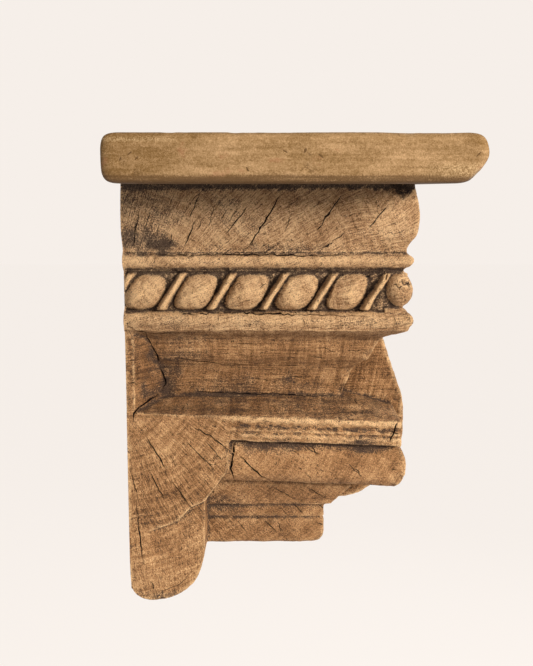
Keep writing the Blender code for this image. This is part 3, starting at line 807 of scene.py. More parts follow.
@dataclass
class CarvedCorbel:
    """The old carved corbel, one block of wood."""

    sizes: Mouldings = field(default_factory=Mouldings)
    finish: OldWoodFinish = field(default_factory=OldWoodFinish)
    voxel: float = 0.00105
    most_triangles: int = 168000
    pith: Place = (-0.027, 0.1256)
    crack_gape: float = 1.15
    hip: tuple[tuple[float, float, float], ...] = ((205.0, 104.0, 121.0), (171.0, 69.0, 167.0))
    cracks: tuple[Crack, ...] = (
        Crack(((14, 20), (11, 34), (8, 48)), 0.8),
        Crack(((22, 20), (19, 31)), 0.5),
        Crack(((29, 27), (26, 39)), 0.5),
        Crack(((38, 35), (35, 48)), 0.5),
        Crack(((59, 6), (51, 25)), 0.8),
        Crack(((56, 27), (52, 36), (46, 47)), 0.8),
        Crack(((70, 15), (65, 32)), 0.5),
        Crack(((87, 17), (80, 28)), 0.5),
        Crack(((95, 15), (88, 24), (78, 37)), 0.7),
        Crack(((120, 5), (107, 28), (98, 41), (93, 49)), 0.9),
        Crack(((133, 8), (130, 16)), 0.5),
        Crack(((127, 22), (122, 35)), 0.5),
        Crack(((166, 5), (156, 19), (145, 37)), 0.8),
        Crack(((198, 16), (184, 33)), 0.8),
        Crack(((14, 193), (22, 206), (31, 221)), 0.9),
        Crack(((49, 185), (65, 194), (84, 209)), 0.8),
        Crack(((45, 197), (55, 207), (68, 221)), 0.7),
        Crack(((17, 221), (22, 233), (29, 245)), 0.8),
        Crack(((6, 245), (8, 272), (11, 297)), 0.8),
        Crack(((2, 221), (9, 249)), 0.6),
        Crack(((34, 229), (43, 243), (52, 257)), 0.8),
        Crack(((61, 197), (74, 214)), 0.6),
        Crack(((87, 209), (102, 225), (112, 233)), 1.0),
        Crack(((95, 229), (101, 234)), 0.5),
        Crack(((135, 200), (149, 210)), 0.6),
        Crack(((172, 216), (184, 228)), 0.6),
        Crack(((113, 241), (132, 254)), 0.7),
        Crack(((140, 241), (159, 254)), 0.7),
        Crack(((85, 273), (93, 285)), 0.6),
        Crack(((105, 271), (117, 283)), 0.6),
        Crack(((3, 32), (3, 49), (6, 52), (47, 53), (89, 52), (134, 53), (171, 52.5), (212, 50.5)), 0.7, 2.5, True),
        Crack(((2, 106), (7, 102), (20, 99), (46, 97.6), (77, 97), (115, 97.4), (172, 98.6), (204, 98.8)), 0.7, 2.5, True),
        Crack(((5, 114), (34, 112.6), (62, 111.6)), 0.5, 2.5, True),
        Crack(((3, 106), (8, 109.5), (16, 112.4), (15, 117), (18, 124), (21, 131), (22.5, 136), (21.4, 141.5)), 1.1, 5, True),
        Crack(((22.5, 143), (24, 147), (25.4, 153.5), (27.8, 158), (25, 161.5), (24.4, 164.3)), 1.0, 5, True),
        Crack(((24.4, 164), (20, 167), (13.4, 169.4), (7, 173.5), (5, 178.3), (5.3, 182)), 1.2, 5, True),
        Crack(((16, 112), (28, 113), (38, 111.6)), 0.6, 3, True),
        Crack(((136, 98.5), (136.5, 106)), 0.40, 2.0),
        Crack(((205.5, 98), (208, 107)), 0.50, 2.0),
        Crack(((72, 97), (72.5, 103)), 0.35, 2.0),
        Crack(((182, 99), (182.5, 104)), 0.35, 2.0),
        Crack(((25, 53), (23, 60)), 0.45, 2.0),
        Crack(((3, 134), (10, 133)), 0.7, 2.5),
        Crack(((2, 152), (8, 150)), 0.6, 2.0),
        Crack(((34, 164), (54, 166.5), (87, 168.5), (119, 168.5), (136, 169.5), (168, 171)), 0.7, 3, True),
        Crack(((33, 135), (52, 139), (73, 142), (101, 143)), 0.5, 2.5, True),
        Crack(((119, 149), (133, 150.5), (146, 154)), 0.4, 2.0, True),
        Crack(((62, 122), (84, 124), (110, 123)), 0.4, 2.0, True),
        Crack(((83.2, 201), (81.5, 213), (80.8, 222), (82.5, 229)), 1.15, 5, True),
        Crack(((214, 181), (209.6, 184), (207.7, 190), (204.7, 198)), 1.1, 4, True),
        Crack(((15, 323), (27, 322), (35, 319), (43, 313), (49, 305)), 0.5, 2, True),
    )
    grooves: tuple[Groove, ...] = (
        Groove(51.6, 1.9, 1.5),
        Groove(64.4, 2.7, 2.2),
        Groove(97.0, 1.2, 0.9),
        Groove(186.6, 2.6, 1.5, 83.0, 0.45, True),
        Groove(181.0, 2.4, -0.4, 60.0, 0.6, True),
        Groove(193.2, 2.8, -0.4, 83.0, 0.6, True),
    )
    chips: tuple[Chip, ...] = (
        Chip(209, -116, 0, 10, 5.0, True),
        Chip(199, -117, 1, 6, 3.0, True),
        Chip(213, -117, 3, 6, 2.5),
        Chip(212.5, -113.5, 72, 3.4, 3.5, True),
        Chip(215.5, -111, 74.5, 2.2, 2.5, True),
        Chip(211, -113, 187, 3.0, 1.5, True),
        Chip(150, -110, 179, 6, 2.0),
        Chip(163, -109, 180, 4, 1.8),
        Chip(98, -109, 178, 4, 1.5),
        Chip(176, -76, 150, 7, 2.5),
        Chip(190, -90, 136, 6, 2.5),
        Chip(205, -104, 121, 6, 2.0),
        Chip(171, -69, 165, 6, 2.0),
        Chip(215, -108, 232, 7, 2.5),
    )
    ridges: tuple[Ridge, ...] = (
        Ridge(((79.0, 203), (78.0, 221.4), (73.2, 229.7), (66.0, 239.4), (60.0, 246.5)), 2.3, 0.8),
        Ridge(((48.5, 252.8), (38.5, 262.8)), 2.3, 0.45),
        Ridge(((6.4, 116), (7.4, 128), (6.2, 141), (7.2, 153), (6.2, 168)), 1.5, 0.40),
    )
    patches: tuple[Patch, ...] = (
        # Painted shadow cast by the board along the top of the frieze, with some dirt.
        Patch(110, 1, 130, 3.6, 0.95),
        Patch(16, 42, 32, 10, 0.62),
        Patch(34, 46, 22, 4, 0.50),
        Patch(24, 326, 36, 6, 0.62),
        Patch(57, 300, 7, 26, 0.40),
        Patch(62, 172, 34, 7, 0.55),
        Patch(75, 18, 26, 12, 0.45),
        Patch(95, 28, 22, 12, 0.40),
        Patch(14, 25, 34, 34, 0.60),
        Patch(90, 162, 95, 9, 0.60),
        Patch(105, 146, 80, 12, 0.25),
        Patch(4, 140, 10, 36, 0.40),
        Patch(105, 262, 70, 40, 0.22),
        Patch(120, 47, 50, 4, 0.55),
        Patch(185, 36, 34, 4, 0.35),
        # This patch and the next two: painted shadow cast by the fillet onto the top of the cushion, mixed with patina.
        Patch(108, 204, 26, 8, 1.00),
        Patch(185, 203, 28, 7, 0.95),
        Patch(146, 203, 20, 5, 0.55),
        Patch(45, 128, 24, 26, 0.55),
        Patch(24, 150, 14, 30, 0.70),
        Patch(18, 262, 18, 9, 0.35),
        Patch(78, 258, 22, 16, 0.45),
    )

    def __post_init__(self) -> None:
        """Find the corbel's top."""
        self.top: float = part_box("carved_corbel")[1][2]

    def build(self) -> bpy.types.Object:
        """Model and dress the corbel.

        Returns:
            The finished object, which stands for its solid.
        """
        item = merged_copy("carved_corbel", "carved_corbel_wood")
        apply_modifier(item, "REMESH", mode="VOXEL", voxel_size=self.voxel, use_smooth_shade=True)
        log.info("corbel remeshed: %d faces", len(item.data.polygons))
        sculpt = Sculpt(item)
        self.groove(sculpt)
        below = PearlBand(self.sizes).carve(sculpt)
        self.blend_foot(sculpt)
        self.ease_hollow(sculpt)
        self.raise_ridges(sculpt)
        self.weather(sculpt)
        self.bite(sculpt)
        self.flatten_back(sculpt)
        marks = self.marks(sculpt, below)
        source = sculpt.places.copy()
        self.thin_out(item)
        self.open_cracks(item)
        self.transfer(item, source, marks)
        self.dress(item)
        log.info("corbel finished: %d triangles", sum(len(p.vertices) - 2 for p in item.data.polygons))
        return item

    def drops(self, sculpt: Sculpt) -> np.ndarray:
        """Return each point's drop below the corbel's top."""
        return self.top - sculpt.places[:, 2]

    def free_faces(self, sculpt: Sculpt) -> np.ndarray:
        """Return 1 where a point may move, and 0 on the back and the seat under the board."""
        back = (sculpt.normals[:, 0] < -0.7) & (sculpt.places[:, 0] < 0.002)
        seat = (sculpt.normals[:, 2] > 0.7) & (self.drops(sculpt) < 0.002)
        return np.where(back | seat, 0.0, 1.0)

    def groove(self, sculpt: Sculpt) -> None:
        """Sink the grooves that part the mouldings."""
        level = sculpt.smoothed(sculpt.normals, 4)
        level[:, 2] = 0.0
        level /= np.maximum(np.linalg.norm(level, axis=1), 0.2)[:, None]
        for groove in self.grooves:
            fall = self.sizes.ledge_fall * (sculpt.places[:, 0] / self.sizes.front - 0.5) if groove.falls else 0.0
            across = ((self.drops(sculpt) - fall) / MM - groove.drop) / groove.half
            depth = np.clip(1.0 - across**2, 0.0, 1.0) * groove.depth * MM
            depth *= 1.0 + groove.rough * lattice_noise(sculpt.places, 0.004, 18)
            depth *= ease(sculpt.places[:, 0] / MM, groove.start, groove.start + 6.0)
            depth *= ease(sculpt.places[:, 0], 0.0, 0.003)
            if groove.falls:
                depth *= ease(np.abs(sculpt.places[:, 1]), 0.050, 0.054)
            sculpt.places -= level * depth[:, None]
        sculpt.write()

    def blend_foot(self, sculpt: Sculpt) -> None:
        """Let the step over the foot die away towards the wall."""
        drop = self.drops(sculpt)
        slab = self.sizes.half_width - self.sizes.slab_setback
        reach = 1.0 - ease(sculpt.places[:, 0], 0.010, 0.026)
        share = reach * ease(drop, 0.262, 0.272) * (1.0 - ease(drop, 0.292, 0.322))
        share *= np.abs(sculpt.places[:, 1]) > slab - 0.0075
        out = np.abs(sculpt.places[:, 1])
        sculpt.places[:, 1] = np.sign(sculpt.places[:, 1]) * (out + np.clip(slab - out, 0.0, 1.0) * share)
        sculpt.write()

    def weather(self, sculpt: Sculpt) -> None:
        """Give the surface its hand-cut wobble, grain relief, soft arrises and rough breaks."""
        places = sculpt.places
        free = self.free_faces(sculpt)
        ends = ease(np.abs(sculpt.normals[:, 1]), 0.45, 0.75)
        wobble = 0.0006 * lattice_noise(places, 0.055, 1) + 0.0004 * lattice_noise(places, 0.019, 2)
        radius = np.hypot(places[:, 0] - self.pith[0], self.drops(sculpt) - self.pith[1])
        phase = radius / 0.0026 + 1.4 * lattice_noise(places, 0.03, 3)
        rings = np.sin(phase * 2 * math.pi / 2.2) * lattice_noise(places, 0.02, 4)
        mottle = 0.00020 * lattice_noise(places, 0.0042, 5) + 0.00012 * lattice_noise(places, 0.0024, 6)
        fibres = 0.00024 * lattice_noise(places, (0.003, 0.05, 0.003), 8)
        fibres += 0.00030 * lattice_noise(places, (0.008, 0.09, 0.008), 9)
        sculpt.push(free * (wobble + ends * (0.00010 * rings + mottle) + (1.0 - ends) * (fibres + mottle * 0.6)))
        sculpt.write()
        soft = sculpt.smoothed(sculpt.places, 4)
        proud = np.clip(-sculpt.hollow(4) / 0.0004 - 0.15, 0.0, 1.0) * free
        share = proud * (0.40 + 0.40 * lattice_noise(places, 0.012, 10))
        sculpt.places += (soft - sculpt.places) * np.clip(share, 0.0, 1.0)[:, None]
        sculpt.write()
        proud = np.clip(-sculpt.hollow(14) / 0.0009 - 0.35, 0.0, 1.0) * free
        broken = ease(lattice_noise(sculpt.places, 0.0065, 11), 0.10, 0.75)
        fine = 0.6 + 0.4 * lattice_noise(sculpt.places, 0.0025, 12)
        sculpt.push(-0.0012 * proud * broken * fine)
        ledge = ease(self.drops(sculpt), self.sizes.neck - 0.002, self.sizes.neck + 0.003)
        ledge *= 1.0 - ease(self.drops(sculpt), self.sizes.cushion_top - 0.001, self.sizes.cushion_top + 0.001)
        ledge *= ease(sculpt.places[:, 0], 0.05, 0.08)
        sculpt.push(ledge * free * 0.00045 * lattice_noise(sculpt.places, 0.0032, 13))
        self.break_hip(sculpt)
        sculpt.write()

    def ease_hollow(self, sculpt: Sculpt) -> None:
        """Ease the ridge between the two hollows of the sides' undercut."""
        drop = self.drops(sculpt)
        share = ease(drop, 0.120, 0.130) * (1.0 - ease(drop, 0.148, 0.158))
        share *= ease(sculpt.places[:, 0], 0.030, 0.036) * (1.0 - ease(sculpt.places[:, 0], 0.180, 0.186))
        share *= ease(np.abs(sculpt.normals[:, 1]), 0.3, 0.5)
        for _ in range(90):
            sculpt.places += (sculpt.neighbours_mean(sculpt.places) - sculpt.places) * share[:, None]
        sculpt.write()

    def on_ridges(self, sculpt: Sculpt) -> np.ndarray:
        """Return how much of a ridge's rise each point has, in metres."""
        place = np.column_stack((sculpt.places[:, 0], self.drops(sculpt))) / MM
        rise = np.zeros(sculpt.count)
        for ridge in self.ridges:
            distance = np.full(sculpt.count, 99.0)
            for first, second in zip(ridge.run, ridge.run[1:]):
                start, along = np.array(first), np.subtract(second, first)
                share = np.clip((place - start) @ along / (along @ along), 0.0, 1.0)
                distance = np.minimum(distance, np.linalg.norm(place - start - share[:, None] * along, axis=1))
            rise = np.maximum(rise, (1.0 - ease(distance / ridge.half, 0.0, 1.0)) * ridge.rise * MM)
        return rise * ease(np.abs(sculpt.normals[:, 1]), 0.35, 0.7)

    def raise_ridges(self, sculpt: Sculpt) -> None:
        """Raise the lips along the slab's curved edge, the foot and the jamb."""
        ragged = 0.75 + 0.45 * lattice_noise(sculpt.places, 0.005, 20)
        sculpt.places[:, 1] += np.sign(sculpt.places[:, 1]) * self.on_ridges(sculpt) * ragged
        sculpt.write()

    def from_hip(self, sculpt: Sculpt) -> np.ndarray:
        """Return each point's distance from the slanted arris of its own side, in millimetres."""
        start, end = (np.array(place) for place in self.hip)
        mirrored = np.column_stack((sculpt.places[:, 0], np.abs(sculpt.places[:, 1]), self.drops(sculpt))) / MM
        along = end - start
        share = np.clip((mirrored - start) @ along / (along @ along), 0.0, 1.0)
        return np.linalg.norm(mirrored - start - share[:, None] * along, axis=1)

    def break_hip(self, sculpt: Sculpt) -> None:
        """Break up the slanted arris where the side's hollow meets the front's."""
        distance = self.from_hip(sculpt)
        bites = np.clip(lattice_noise(sculpt.places, 0.006, 19) - 0.05, 0.0, 1.0)
        lip = 0.0009 * (1.0 - ease(distance, 0.6, 2.8))
        sculpt.push(lip - 0.0022 * bites * (1.0 - ease(distance, 1.5, 5.0)))

    def bite(self, sculpt: Sculpt) -> None:
        """Take the chips out of the arrises."""
        for chip in self.chips:
            center = np.array((chip.x * MM, chip.y * MM, self.top - chip.drop * MM))
            away = sculpt.places - center
            distance = np.linalg.norm(away, axis=1) / (chip.radius * MM)
            near = distance < 1.0
            ragged = 1.0 + 0.35 * lattice_noise(sculpt.places[near], 0.003, 14)
            depth = chip.depth * MM * (1.0 - distance[near] ** 2) * ragged
            sculpt.places[near] -= sculpt.normals[near] * depth[:, None]
        sculpt.write()

    def flatten_back(self, sculpt: Sculpt) -> None:
        """Keep the back on the wall plane, and the seat under the board and its rounded back edge."""
        back = sculpt.places[:, 0] < 0.0009
        sculpt.places[back, 0] = 0.0
        sculpt.places[:, 2] = np.minimum(sculpt.places[:, 2], self.top)
        seat = (sculpt.normals[:, 2] > 0.2) & (sculpt.places[:, 2] > self.top - 0.0022)
        lift = 0.0007 * np.clip(1.0 - sculpt.places[seat, 0] / 0.0045, 0.0, 1.0)
        sculpt.places[seat, 2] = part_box("shelf_board")[0][2] - 0.00005 + lift
        sculpt.write()

    def marks(self, sculpt: Sculpt, below: np.ndarray) -> dict[str, np.ndarray]:
        """Work out the wood's patina and painted shade, its rubbed arrises and painted highlights, its painted tone of
        light and shade, and where it is end grain.

        Args:
            sculpt: the corbel's points.
            below: how far below the band's ground each point lies, with the painted shade before the corner pearl
                added.

        Returns:
            A value for each point, by the attribute's name.
        """
        places, normals = sculpt.places, sculpt.normals
        drop = self.drops(sculpt)
        fine, middle, wide = sculpt.hollow(4), sculpt.hollow(16), sculpt.hollow(80)
        patchy = 0.5 + 0.5 * lattice_noise(places, 0.011, 15)
        # Patina in the hollows and slots, plus painted shade under the board, the upper bead and the fillet.
        patina_and_shade = np.clip(fine / 0.00030, 0, 1) * 0.60 + np.clip(middle / 0.0011, 0, 1) * 0.40
        patina_and_shade += np.clip(wide / 0.0040, 0, 1) * 0.22
        # Patina in the band's slots, and the painted shade before the corner pearl.
        patina_and_shade += ease(below, -0.0012, 0.0036) * 0.62
        # The strip just under the board: partly dirt, partly painted shadow cast by the board.
        patina_and_shade += ease(-drop, -0.0045, -0.001) * 0.8
        # Partly patina in the groove, partly painted shade under the upper bead.
        under_bead = (1.0 - ease(np.abs(drop - 0.0645), 0.0012, 0.0034)) * ease(np.abs(normals[:, 2]), -1.0, 0.1)
        patina_and_shade += under_bead * 0.55
        ledge = ease(normals[:, 2], 0.35, 0.8) * ease(drop, self.sizes.neck - 0.003, self.sizes.neck)
        patina_and_shade += ledge * 0.58 * (0.5 + 0.5 * patchy)
        sides = ease(np.abs(normals[:, 1]), 0.2, 0.5)
        level = drop - self.sizes.ledge_fall * (places[:, 0] / self.sizes.front - 0.5)
        lip = (1.0 - ease(np.abs(level - 0.1805), 0.0010, 0.0032)) * (1.0 - ease(normals[:, 2], 0.65, 0.90))
        lip += 0.5 * (1.0 - ease(np.abs(level - 0.1935), 0.0008, 0.0030)) * ease(places[:, 0], 0.083, 0.092)
        lip *= ease(np.abs(places[:, 1]), 0.046, 0.049)
        for patch in self.patches:
            off_x = (places[:, 0] - patch.x * MM) / (patch.half_x * MM)
            off_z = (drop - patch.drop * MM) / (patch.half_drop * MM)
            edge = np.sqrt(off_x**2 + off_z**2) + 0.45 * lattice_noise(places, 0.008, 16)
            patina_and_shade += sides * patch.strength * (1.0 - ease(edge, 0.35, 1.15)) * (0.35 + 0.65 * patchy)
        for chip in self.chips:
            if chip.dark:
                center = np.array((chip.x * MM, chip.y * MM, self.top - chip.drop * MM))
                away = np.linalg.norm(places - center, axis=1) / (chip.radius * MM)
                away += 0.30 * lattice_noise(places, 0.0022, 22)
                patina_and_shade += 1.5 * (1.0 - ease(away, 0.50, 1.10))
        # Rubbed, convex arrises, with painted highlights added below on the pearls, beads, lips and hip.
        worn_and_highlight = np.clip(-fine / 0.00030 - 0.15, 0, 1) * 0.9
        worn_and_highlight += np.clip(-middle / 0.0009 - 0.25, 0, 1) * 0.6
        # Painted highlight on the tops of the pearls.
        worn_and_highlight += ease(-below, 0.0026, 0.0062) * 0.55
        # The two beads: some wear, and a painted highlight.
        beads = (1.0 - ease(np.abs(drop - 0.1025), 0.003, 0.006)) + (1.0 - ease(np.abs(drop - 0.0575), 0.002, 0.004))
        worn_and_highlight += beads * sides * 0.30
        streaks = np.clip(lattice_noise(places, (0.014, 0.03, 0.0022), 24), 0.0, 1.0)
        patina_and_shade += beads * sides * streaks * 0.45
        patina_and_shade += (1.0 - ease(np.abs(drop - 0.0518), 0.001, 0.0022)) * sides * 0.30
        # The lips of the ledge and the fillet: wear and a painted highlight.
        worn_and_highlight += lip * ease(places[:, 0], 0.06, 0.10) * 0.8
        # Painted highlight along the hip's arris, where its bevel faces the light.
        worn_and_highlight += (1.0 - ease(self.from_hip(sculpt), 1.0, 2.8)) * 2.0
        # Painted highlight along the raised lips.
        worn_and_highlight += self.on_ridges(sculpt) / 0.0006 * (0.30 + 0.70 * lattice_noise(places, 0.0045, 23))
        worn_and_highlight *= 0.30 + 0.70 * (0.5 + 0.5 * lattice_noise(places, 0.008, 17))
        upper = 1.0 - ease(drop, 0.098, 0.118)
        console = ease(places[:, 0], 0.165, 0.180) * (1.0 - ease(np.abs(places[:, 1]), 0.045, 0.048)) * (1.0 - upper)
        jamb = (1.0 - ease(places[:, 0], 0.024, 0.034)) * ease(drop, 0.112, 0.120) * (1.0 - ease(drop, 0.170, 0.180))
        foot = ease(drop, 0.262, 0.275) * (1.0 - ease(places[:, 0], 0.058, 0.062))
        # Painted light and shade in the tone: the upper mouldings lighter, most near the wall; the lower parts, the
        # console front and the jamb darker; the cushion lighter and what lies below it darker; the foot left out.
        tone_shift = (0.078 - 0.038 * ease(places[:, 0], 0.12, 0.19)) * upper
        tone_shift -= 0.052 * (1.0 - upper) * (1.0 - foot) + 0.070 * console + 0.085 * jamb
        tone_shift += (0.020 * ease(drop, 0.190, 0.200) - 0.035 * ease(drop, 0.232, 0.240)) * (1.0 - foot)
        back = ease(-normals[:, 0], 0.7, 0.9)
        scored = ease(drop, 0.110, 0.122) * (1.0 - ease(drop, 0.176, 0.182)) * sides
        return {
            "patina_and_shade": np.clip(patina_and_shade * (1.0 - 0.8 * back), 0.0, 1.2),
            "worn_and_highlight": np.clip(worn_and_highlight, 0.0, 1.0),
            "tone_shift": tone_shift,
            "tooled": console * ease(normals[:, 0], 0.3, 0.7) + 0.5 * foot,
            "scored": np.clip(scored + ledge, 0.0, 1.0) * 0.85,
            "calm": 0.6 * ease(drop, 0.196, 0.204) * ease(places[:, 0], 0.078, 0.086),
            "end_grain": ease(np.abs(sculpt.smoothed(normals, 6)[:, 1]), 0.40, 0.70),
        }

    def thin_out(self, item: bpy.types.Object) -> None:
        """Bring the mesh under its most triangles, where it is flattest first."""
        triangles = sum(len(face.vertices) - 2 for face in item.data.polygons)
        if triangles > self.most_triangles:
            apply_modifier(item, "DECIMATE", ratio=self.most_triangles / triangles)

    def open_cracks(self, item: bpy.types.Object) -> None:
        """Cut the drying cracks into both sides."""
        surface = BVHTree.FromObject(item, bpy.context.evaluated_depsgraph_get())
        work = bmesh.new()
        rng = np.random.default_rng(5)
        for side in (Side.NEAR, Side.FAR):
            for crack in self.cracks:
                self.add_blade(work, surface, crack, side, rng)
        mesh = bpy.data.meshes.new("crack_blades")
        work.to_mesh(mesh)
        work.free()
        blades = bpy.data.objects.new("crack_blades", mesh)
        bpy.context.scene.collection.objects.link(blades)
        apply_modifier(item, "BOOLEAN", operation="DIFFERENCE", solver="MANIFOLD", object=blades)
        bpy.data.objects.remove(blades, do_unlink=True)

    def add_blade(
        self, work: bmesh.types.BMesh, surface: BVHTree, crack: Crack, side: Side, rng: np.random.Generator
    ) -> None:
        """Add the lens-shaped blade that cuts one crack.

        Args:
            work: the mesh that takes the blade.
            surface: the corbel's surface.
            crack: the crack.
            side: the near side, or the far one, where the crack is shifted and leans a little otherwise.
            rng: gives the ragged edges.
        """
        run = np.array(crack.run, dtype=float) * MM
        if side is Side.FAR and not crack.crease:
            run[:, 0] += rng.normal(0.004, 0.004)
            run[:, 1] += rng.normal(0.0, 0.002)
        steps = max(4, int(np.hypot(*np.diff(run, axis=0).T).sum() / 0.0028))
        shares = np.linspace(0.0, 1.0, steps + 1)
        knots = np.concatenate(((0.0,), np.cumsum(np.hypot(*np.diff(run, axis=0).T))))
        knots /= knots[-1]
        middle = np.column_stack([np.interp(shares, knots, run[:, axis]) for axis in (0, 1)])
        along = run[-1] - run[0]
        across = np.array((-along[1], along[0])) / np.hypot(*along)
        middle[1:-1] += across * rng.normal(0.0, 0.00035, (steps - 1, 1))
        taper = np.sin(math.pi * np.clip(shares, 0.04, 0.96)) ** (0.22 if crack.crease else 0.45)
        half = self.crack_gape * crack.width * MM / 2 * taper
        half *= np.clip(1.0 + rng.normal(0.0, 0.25 if crack.crease else 0.18, steps + 1), 0.2, 1.8)
        sign = float(side.value)
        depths = []
        for x, drop in middle:
            start = Vector((x, sign * 0.2, self.top - drop))
            hit = surface.ray_cast(start, Vector((0.0, -sign, 0.0)))[0]
            depths.append(hit.y if hit else sign * self.sizes.half_width)
        outer = sign * 0.13
        rows = []
        for index, (x, drop) in enumerate(middle):
            inner = depths[index] - sign * crack.depth * MM * math.sin(math.pi * min(max(shares[index], 0.08), 0.92))
            corners = []
            for edge in (-1.0, 1.0):
                px, pd = (x, drop) + across * edge * max(half[index], 0.00004)
                corners.append(work.verts.new((px, outer, self.top - pd)))
                corners.append(work.verts.new((px, inner, self.top - pd)))
            rows.append(corners)
        for first, second in zip(rows, rows[1:]):
            for a, b in ((0, 1), (1, 3), (3, 2), (2, 0)):
                work.faces.new((first[a], first[b], second[b], second[a]))
        work.faces.new((rows[0][0], rows[0][2], rows[0][3], rows[0][1]))
        work.faces.new((rows[-1][0], rows[-1][1], rows[-1][3], rows[-1][2]))
        bmesh.ops.recalc_face_normals(work, faces=work.faces)

    def transfer(self, item: bpy.types.Object, source: np.ndarray, marks: dict[str, np.ndarray]) -> None:
        """Give the finished mesh its marks, and its depth inside the cracks.

        Args:
            item: the finished corbel.
            source: the points that the marks were worked out at.
            marks: the values, by the attribute's name.
        """
        tree = KDTree(len(source))
        for index, place in enumerate(source):
            tree.insert(place, index)
        tree.balance()
        nearest = np.empty(len(item.data.vertices), dtype=np.int64)
        distance = np.empty(len(nearest))
        for vertex in item.data.vertices:
            _, nearest[vertex.index], distance[vertex.index] = tree.find(vertex.co)
        for name, values in marks.items():
            layer = item.data.attributes.new(name, "FLOAT", "POINT")
            layer.data.foreach_set("value", values[nearest].astype(np.float32))
        # The depth inside the cracks sets their painted shade.
        layer = item.data.attributes.new("crack_depth", "FLOAT", "POINT")
        inside = np.clip((distance - self.voxel) / MM, 0.0, 5.0)
        layer.data.foreach_set("value", inside.astype(np.float32))

    def dress(self, item: bpy.types.Object) -> None:
        """Shade the corbel and tell the frame what it is."""
        pick(item)
        bpy.ops.object.shade_smooth_by_angle(angle=math.radians(55))
        item.data.materials.clear()
        item.data.materials.append(self.finish.make())
        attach(item, "root")
        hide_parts("carved_corbel")


@dataclass
class ShelfBoard:
    """The plain board on top, with rounded and worn edges."""

    finish: BoardFinish = field(default_factory=BoardFinish)
    voxel: float = 0.0020
    nicks: tuple[Chip, ...] = (
        Chip(14, -201, -14, 3.0, 0.8),
        Chip(23, -201, -7, 2.5, 0.7),
        Chip(134, -201, -11, 3.0, 0.8),
        Chip(138, -201, -8, 2.0, 0.7),
        Chip(246, -198, -4, 6.0, 1.5),
        Chip(60, -201, -31, 4.0, 0.6),
        Chip(200, -199, -33, 5.0, 0.8),
        Chip(253, -60, -20, 7.0, 1.2),
        Chip(250, 90, -4, 8.0, 1.6),
        Chip(200, 200, -30, 6.0, 1.4),
    )

    def build(self) -> bpy.types.Object:
        """Model and dress the board.

        Returns:
            The finished object, which stands for its solid.
        """
        item = merged_copy("shelf_board", "shelf_board_wood")
        apply_modifier(item, "REMESH", mode="VOXEL", voxel_size=self.voxel, use_smooth_shade=True)
        sculpt = Sculpt(item)
        low, high = (np.array(corner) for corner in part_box("shelf_board"))
        self.weather(sculpt, low, high)
        marks = self.marks(sculpt, low)
        for name, values in marks.items():
            layer = item.data.attributes.new(name, "FLOAT", "POINT")
            layer.data.foreach_set("value", values.astype(np.float32))
        pick(item)
        bpy.ops.object.shade_smooth()
        item.data.materials.append(self.finish.make())
        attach(item, "root")
        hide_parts("shelf_board")
        log.info("board finished: %d faces", len(item.data.polygons))
        return item

    def weather(self, sculpt: Sculpt, low: np.ndarray, high: np.ndarray) -> None:
        """Soften the board's edges and give it shallow dents, within its own box."""
        for _ in range(2):
            soft = sculpt.smoothed(sculpt.places, 8)
            proud = np.clip(-sculpt.hollow(8) / 0.0003, 0.0, 1.0)
            sculpt.places += (soft - sculpt.places) * proud[:, None]
            sculpt.write()
        wave = 0.0005 * lattice_noise(sculpt.places, 0.05, 31) + 0.00016 * lattice_noise(sculpt.places, 0.012, 32)
        streak = 0.00008 * lattice_noise(sculpt.places, (0.004, 0.08, 0.004), 33)
        dents = -0.0005 * ease(lattice_noise(sculpt.places, 0.014, 34), 0.62, 0.95)
        sculpt.push((wave + streak + dents) * (1.0 - ease(-sculpt.normals[:, 2], 0.6, 0.9)))
        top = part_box("carved_corbel")[1][2]
        for nick in self.nicks:
            center = np.array((nick.x * MM, nick.y * MM, top - nick.drop * MM))
            distance = np.linalg.norm(sculpt.places - center, axis=1) / (nick.radius * MM)
            near = distance < 1.0
            depth = nick.depth * MM * (1.0 - distance[near] ** 2)
            sculpt.places[near] -= sculpt.normals[near] * depth[:, None]
        sculpt.places = np.clip(sculpt.places, low, high)
        sculpt.write()

    def marks(self, sculpt: Sculpt, low: np.ndarray) -> dict[str, np.ndarray]:
        """Work out where the board is dark: its lower arrises and downward faces, partly as painted shade, its dents
        and its left end.

        Args:
            sculpt: the board's points.
            low: the board's lowest corner.

        Returns:
            A value for each point, by the attribute's name.
        """
        places = sculpt.places
        above = places[:, 2] - low[2]
        # The lower arrises: partly grime, partly painted shade.
        line = above - 0.0052 - 0.0006 * lattice_noise(places, (0.03, 0.05, 0.03), 36)
        patina_and_shade = (1.0 - ease(line, -0.0010, 0.0008)) * 0.60 + (1.0 - ease(line, -0.004, 0.0050)) * 0.32
        patina_and_shade += np.clip(sculpt.hollow(6) / 0.0003, 0, 1) * 0.4
        # Painted shade on the faces that look down.
        patina_and_shade += 0.30 * ease(-sculpt.normals[:, 2], 0.6, 0.9)
        patina_and_shade += 0.34 * lattice_noise(places, (0.05, 0.08, 0.0024), 35) * (1.0 - ease(above, 0.008, 0.014))
        worn_and_highlight = ease(places[:, 0], 0.20, 0.240) * (1.0 - ease(np.abs(above - 0.0085), 0.002, 0.006)) * 0.6
        # Painted highlight: a light line high on the board near the wall end.
        worn_and_highlight += (1.0 - ease(np.abs(above - 0.0285), 0.0005, 0.0018)) * (1.0 - ease(places[:, 0], 0.03, 0.06)) * 0.6
        # Darker towards the wall end, a little at the outer end, and above the light line.
        tone_shift = -0.20 * (1.0 - ease(places[:, 0], -0.01, 0.090)) - 0.035 * ease(places[:, 0], 0.20, 0.25)
        tone_shift -= 0.05 * ease(above, 0.0285, 0.0315)
        ends = ease(np.abs(sculpt.smoothed(sculpt.normals, 4)[:, 1]), 0.45, 0.75)
        return {
            "patina_and_shade": np.clip(patina_and_shade, 0.0, 1.0),
            "worn_and_highlight": np.clip(worn_and_highlight, 0.0, 1.0),
            "tone_shift": tone_shift,
            "end_grain": ends,
        }


